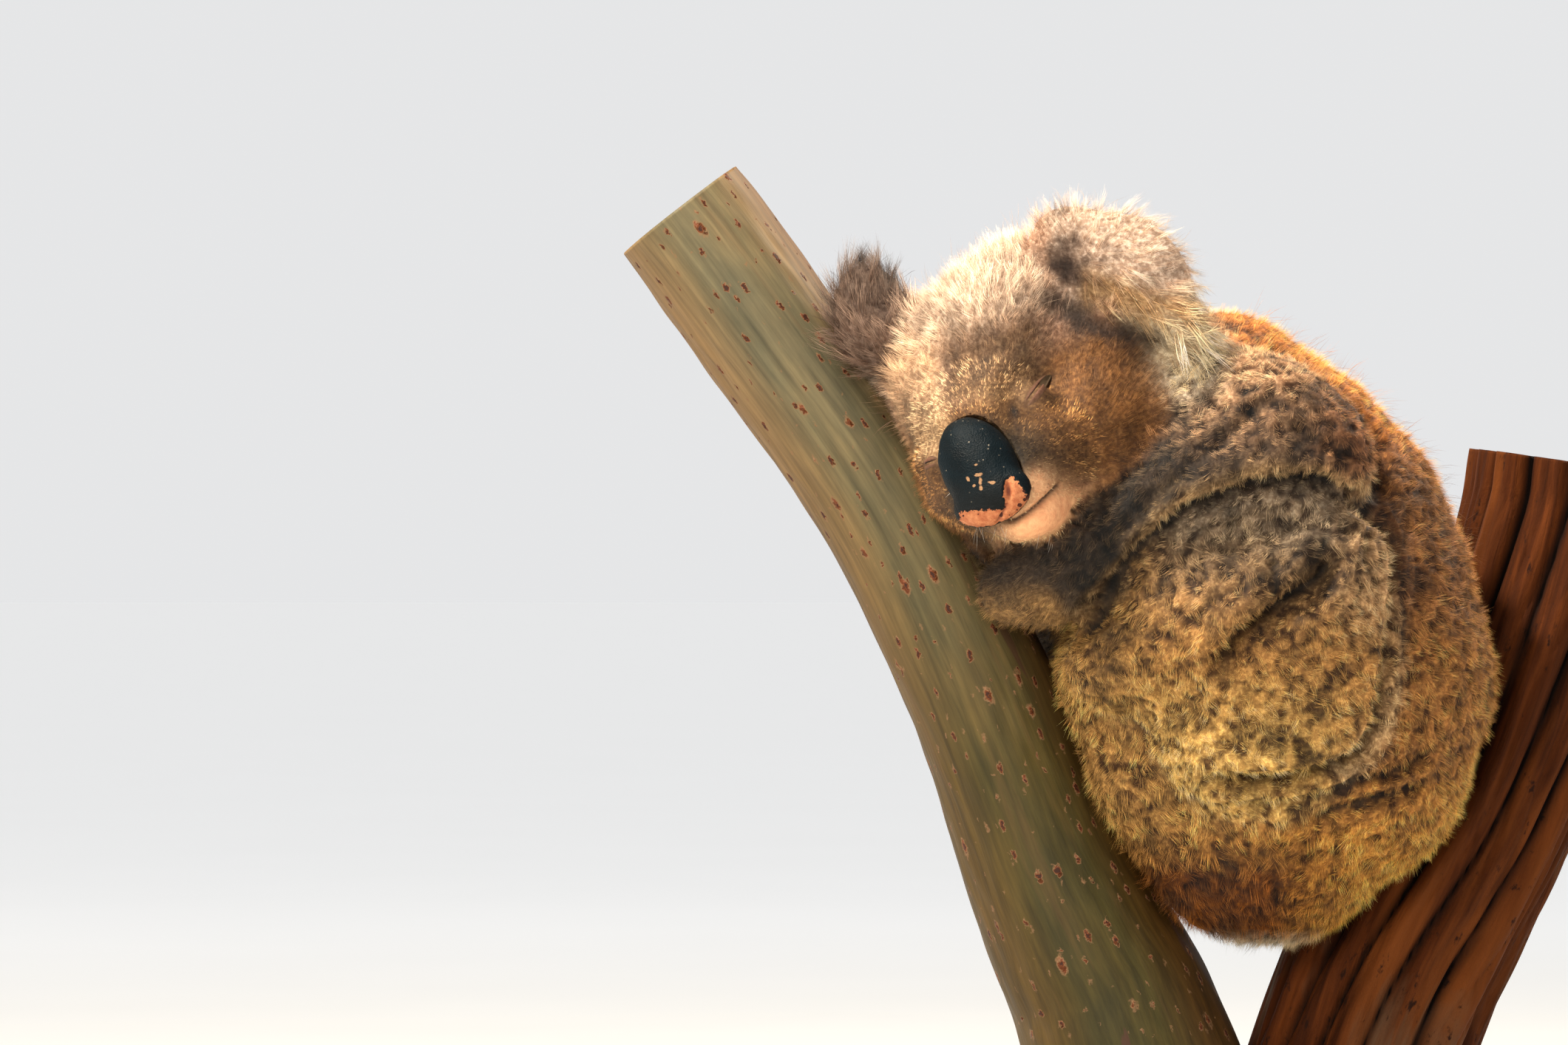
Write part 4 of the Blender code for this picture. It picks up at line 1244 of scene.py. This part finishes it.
def tuft(name, seed, strands, length, root, thickness, spans, lift, gather, curl):
    """Spikes of hair that start round a small root and lean together.

    The tuft grows along x and lifts along z. It carries how far along the hair a point is,
    which hair it is on, and a small square of its own for the unwrap.
    """
    dice = np.random.default_rng(seed)
    points, faces, along, strand, patch = [], [], [], [], []
    bend = dice.uniform(-1, 1) * curl
    for _ in range(strands):
        spin, gap = dice.uniform(0, 2 * pi), root * np.sqrt(dice.uniform(0.02, 1))
        start = np.array((cos(spin) * gap, sin(spin) * gap, -0.0012))
        own = length * dice.uniform(0.72, 1.08)
        slope = lift * dice.uniform(0.75, 1.3)
        side = bend + dice.normal(0, 0.12)
        shade = dice.uniform(0, 1)
        faces += spike_faces(len(points), spans)
        for step in range(spans + 1):
            share = step / spans
            x = own * (share * cos(slope) + 0.18 * share**2)
            z = own * (share * sin(slope) - 0.16 * share**2)
            y = own * side * share**2 * 0.5
            pull = gather * share**0.7
            spot = start * (1 - pull, 1 - pull, 1) + (x, y, z)
            width = thickness * (1 - share) ** 0.55
            for corner in range(3 if step < spans else 1):
                turn = 2 * pi * corner / 3 + spin
                points.append(spot + np.array((0.15 * cos(turn), cos(turn), sin(turn))) * width / 2)
                along.append(share)
                strand.append(shade)
                patch.append((0.5 + 0.42 * start[0] / root * (1 - share), 0.1 + 0.8 * share))
    obj = mesh_of(name, points, faces)
    store(obj, "along", along)
    store(obj, "strand", strand)
    store(obj, "patch", np.array([patch[v] for f in faces for v in f]), "FLOAT2", "CORNER")
    bm = bmesh.new()
    bm.from_mesh(obj.data)
    if bm.calc_volume(signed=True) < 0:
        obj.data.flip_normals()
    bm.free()
    return obj


class Grower(Wiring):
    """A geometry-nodes tree with named inputs."""

    def __init__(self, name, **inputs):
        super().__init__(bpy.data.node_groups.new(name, "GeometryNodeTree"))
        socket = self.tree.interface.new_socket
        socket("Geometry", in_out="INPUT", socket_type="NodeSocketGeometry")
        socket("Geometry", in_out="OUTPUT", socket_type="NodeSocketGeometry")
        self.keys = {
            label: socket(label, in_out="INPUT", socket_type="NodeSocket" + kind).identifier
            for label, kind in inputs.items()
        }
        self.given = self.node("NodeGroupInput")
        self.result = self.tree.nodes.new("NodeGroupOutput").inputs["Geometry"]

    def random(self, low, high, seed, kind="FLOAT"):
        at, out = {"FLOAT": (2, 1), "INT": (4, 2)}[kind]
        return self.node("FunctionNodeRandomValue", {at: low, at + 1: high, 8: seed}, data_type=kind)[out]

    def attribute(self, name, kind="FLOAT"):
        return self.node("GeometryNodeInputNamedAttribute", {0: name}, data_type=kind)[0]

    def keep(self, geometry, name, value, kind="FLOAT", domain="POINT"):
        inputs = {"Geometry": geometry, "Name": name, "Value": value}
        return self.node("GeometryNodeStoreNamedAttribute", inputs, data_type=kind, domain=domain)[0]


coat = Grower(
    "coat_of_tufts", Plot="String", Spacing="Float", Seed="Int",
    Tuft_A="Object", Tuft_B="Object", Tuft_C="Object", Tuft_Length="Float", Least="Float",
    Crimp="Float", Turn="Float", Sway="Float", Ruffle="Float", Pelt="Material",
)
given, maths, vectors, attribute = coat.given, coat.maths, coat.vectors, coat.attribute
scattered = coat.node(
    "GeometryNodeDistributePointsOnFaces",
    {"Mesh": given["Geometry"], "Distance Min": given["Spacing"], "Density Max": COAT_DENSITY,
     "Density Factor": attribute(given["Plot"]), "Seed": given["Seed"]},
    distribute_method="POISSON",
)["Points"]
# Each tuft's shade and size follow the crimp of the wool it stands in.
position = coat.node("GeometryNodeInputPosition")[0]
crimped = coat.mask(coat.noise(position, given["Crimp"], 2.0, 0.65), 0.36, 0.64)
shade = maths("ADD", maths("MULTIPLY", crimped, 0.66), coat.random(0.0, 0.34, 5))
rooted = coat.keep(scattered, "shade", shade)
size = maths("DIVIDE", maths("MAXIMUM", attribute("reach"), given["Least"]), given["Tuft_Length"])
size = maths("MULTIPLY", size, coat.random(0.75, 1.15, 23))
size = maths("MULTIPLY", size, maths("ADD", maths("MULTIPLY", crimped, 0.45), 0.72))
# It lies along the body, swung to and fro in eddies, and leans out of the skin by chance.
eddy = coat.noise(position, 26.0, 2.0, 0.5)
swing = maths("MULTIPLY", maths("SUBTRACT", eddy, 0.5), given["Sway"])
swing = maths("ADD", swing, maths("MULTIPLY", coat.random(-1.0, 1.0, 11), given["Turn"]))
out = attribute("out", "FLOAT_VECTOR")
laid = {"Vector": attribute("lie", "FLOAT_VECTOR"), "Axis": out, "Angle": swing}
laid = coat.node("ShaderNodeVectorRotate", laid)[0]
ruffle = maths("MULTIPLY", coat.random(-1.0, 1.0, 17), given["Ruffle"])
stance = coat.node(
    "FunctionNodeAxesToRotation",
    {"Primary Axis": vectors("ADD", out, vectors("SCALE", laid, ruffle)), "Secondary Axis": laid},
    primary_axis="Z", secondary_axis="X",
)[0]
tuft_kinds = coat.tree.nodes.new("GeometryNodeJoinGeometry")
for key in ("Tuft_C", "Tuft_B", "Tuft_A"):
    kind = coat.node("GeometryNodeObjectInfo", {"Object": given[key], "As Instance": True})["Geometry"]
    coat.wire(kind, tuft_kinds.inputs[0])
planted = coat.node(
    "GeometryNodeInstanceOnPoints",
    {"Points": rooted, "Instance": tuft_kinds.outputs[0], "Pick Instance": True,
     "Instance Index": coat.random(0, 2, 31, "INT"), "Rotation": stance, "Scale": size},
)[0]
grown = coat.node("GeometryNodeRealizeInstances", {"Geometry": planted})[0]
# Each hair is a little frizzy towards its tip.
frizz = vectors("SUBTRACT", coat.noise(position, 400.0, 1.0, 0.5, output="Color"), (0.5, 0.5, 0.5))
frizz_reach = maths("MULTIPLY", attribute("reach"), 0.5)
frizz = vectors("SCALE", frizz, maths("MULTIPLY", attribute("along"), frizz_reach))
grown = coat.node("GeometryNodeSetPosition", {"Geometry": grown, "Offset": frizz})[0]
# The tuft's own square is laid on its place in the hide's unwrap.
corner = vectors("SUBTRACT", attribute("patch", "FLOAT_VECTOR"), (0.5, 0.5, 0.0))
corner = vectors("ADD", attribute("OFBake", "FLOAT_VECTOR"), vectors("SCALE", corner, PATCH_SIZE))
grown = coat.keep(grown, "OFBake", corner, "FLOAT2", "CORNER")
grown = coat.node("GeometryNodeSetMaterial", {"Geometry": grown, "Material": given["Pelt"]})[0]
coat.wire(grown, coat.result)


def fur(name, roughness, root_tone_and_shade, tip_pale, bleach, dim, bright, palest=(1.0, 0.76, 0.43)):
    """The finish of a coat: the pelt's colour, darker at the root, partly as painted shade, and paler at the
    tip.
    """
    finish = Finish(name, roughness, Specular_IOR_Level=0.3)
    pelt_tone, along_hair = finish.attribute("pelt", "Color"), finish.attribute("along")
    tip = finish.mix(bleach, finish.mix(1.0, pelt_tone, tip_pale, "MULTIPLY"), (0.7, 0.47, 0.22))
    finish.lay(pelt_tone)
    finish.cover(along_hair, 0.55, 0.0, root_tone_and_shade, blend="MULTIPLY")
    finish.cover(along_hair, 0.45, 1.0, tip)
    dim, bright = (dim, dim * 0.9, dim * 0.82), (bright, bright * 0.99, bright * 0.97)
    finish.shade(finish.attribute("shade"), (0.18, dim), (0.82, bright))
    finish.shade(finish.attribute("strand"), (0.0, (0.52, 0.49, 0.46)), (1.0, (1.34, 1.33, 1.31)))
    finish.lay(finish.mix(1.0, finish.tone, palest, "DARKEN"))
    # The hairs take the light partly as the body under them does.
    hair_side, body_side = finish.node("ShaderNodeNewGeometry")["Normal"], finish.attribute("out", "Vector")
    facing = finish.node("ShaderNodeMix", {0: 0.45, 4: hair_side, 5: body_side}, data_type="VECTOR")[1]
    finish.wire(finish.vectors("NORMALIZE", facing), finish.shader["Normal"])
    return finish.material


woolly = fur("woolly_fur", 0.62, (0.12, 0.085, 0.062), (2.9, 2.75, 2.55), 0.13, 0.15, 2.02)
downy = fur("downy_fur", 0.62, (0.2, 0.145, 0.1), (2.5, 2.4, 2.2), 0.13, 0.34, 1.66, (1.0, 0.9, 0.72))
velvet = fur("velvet_fur", 0.6, (0.14, 0.1, 0.075), (4.3, 4.5, 4.6), 0.11, 0.05, 2.35)
plush = fur("plush_fur", 0.6, (0.42, 0.33, 0.25), (2.0, 1.9, 1.75), 0.05, 0.72, 1.18, (1.0, 0.9, 0.8))
wispy = fur("wispy_fur", 0.6, (0.6, 0.42, 0.31), (1.38, 1.36, 1.34), 0.0, 0.46, 1.34, (1.0, 0.9, 0.8))
guard = fur("guard_hair", 0.5, (0.3, 0.18, 0.1), (0.66, 0.48, 0.34), 0.0, 0.6, 1.1)
# The kinds of tuft: seed, strands, length, root, thickness, spans, lift, gather and curl.
TUFTS = {
    "wool": (40, 16, 0.008, 0.0022, 0.00023, 1, 1.12, 0.12, 1.2),
    "fluff": (45, 12, 0.008, 0.0019, 0.00022, 1, 0.92, 0.1, 0.9),
    "nap": (50, 7, 0.0042, 0.0011, 0.00033, 1, 0.98, 0.3, 0.4),
    "wisp": (60, 15, 0.028, 0.0028, 0.00022, 2, 0.5, 0.1, 0.8),
    "stray": (70, 3, 0.022, 0.003, 0.00019, 3, 1.0, -0.2, 1.0),
}
SHORTEST = {"stray": 0.018}
# Each piece of coat: its tufts, how far apart, crimp, turn, sway, ruffle and finish.
COATS = {
    "coat_face": ("nap", 0.0018, 190.0, 0.4, 1.0, 0.35, velvet),
    "coat_crown": ("fluff", 0.0024, 170.0, 0.6, 1.4, 0.45, wispy),
    "coat_cheeks": ("fluff", 0.0024, 300.0, 0.4, 0.9, 0.35, plush),
    "coat_ears": ("wisp", 0.0037, 160.0, 0.55, 1.2, 0.5, wispy),
    "coat_back": ("wool", 0.0031, 185.0, 0.9, 1.4, 0.55, woolly),
    "coat_rump": ("wool", 0.0031, 185.0, 0.9, 1.6, 0.55, woolly),
    "coat_belly": ("wool", 0.004, 175.0, 0.8, 1.4, 0.5, downy),
    "coat_arm_left": ("wool", 0.003, 190.0, 0.85, 1.6, 0.55, woolly),
    "coat_arm_right": ("wool", 0.0047, 165.0, 0.85, 1.6, 0.55, woolly),
    "coat_leg_left": ("wool", 0.003, 225.0, 1.0, 1.8, 0.6, woolly),
    "coat_leg_right": ("wool", 0.0046, 165.0, 1.0, 1.8, 0.6, woolly),
    "coat_paws": ("fluff", 0.003, 200.0, 0.55, 1.2, 0.4, woolly),
    "coat_strays": ("stray", 0.008, 280.0, 0.9, 1.6, 0.6, guard),
}
tufts = {
    kind: [tuft(f"{kind}_{k}", seed + k, *shape) for k in range(3)] for kind, (seed, *shape) in TUFTS.items()
}
SPENT = ("grow_", "lip", "slit", "short_hair", "lie", "patch")
for index, (name, (kind, spacing, crimp_scale, turn, sway, ruffling, finish)) in enumerate(COATS.items()):
    piece = add(name, hide.data)
    grow = piece.modifiers.new("grow", "NODES")
    grow.node_group = coat.tree
    tuft_a, tuft_b, tuft_c = tufts[kind]
    settings = {
        "Plot": "grow_" + name, "Spacing": spacing, "Seed": 7 + index,
        "Tuft_A": tuft_a, "Tuft_B": tuft_b, "Tuft_C": tuft_c,
        "Tuft_Length": TUFTS[kind][2], "Least": SHORTEST.get(kind, 0.0),
        "Crimp": crimp_scale, "Turn": turn, "Sway": sway, "Ruffle": ruffling, "Pelt": finish,
    }
    for label, value in settings.items():
        grow[coat.keys[label]] = value
    settled(piece)
    for spent in [a.name for a in piece.data.attributes if a.name.startswith(SPENT)]:
        piece.data.attributes.remove(piece.data.attributes[spent])
    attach(piece, "root")
    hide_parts(*COVERED)
for helper in [obj for three in tufts.values() for obj in three]:
    bpy.data.objects.remove(helper)
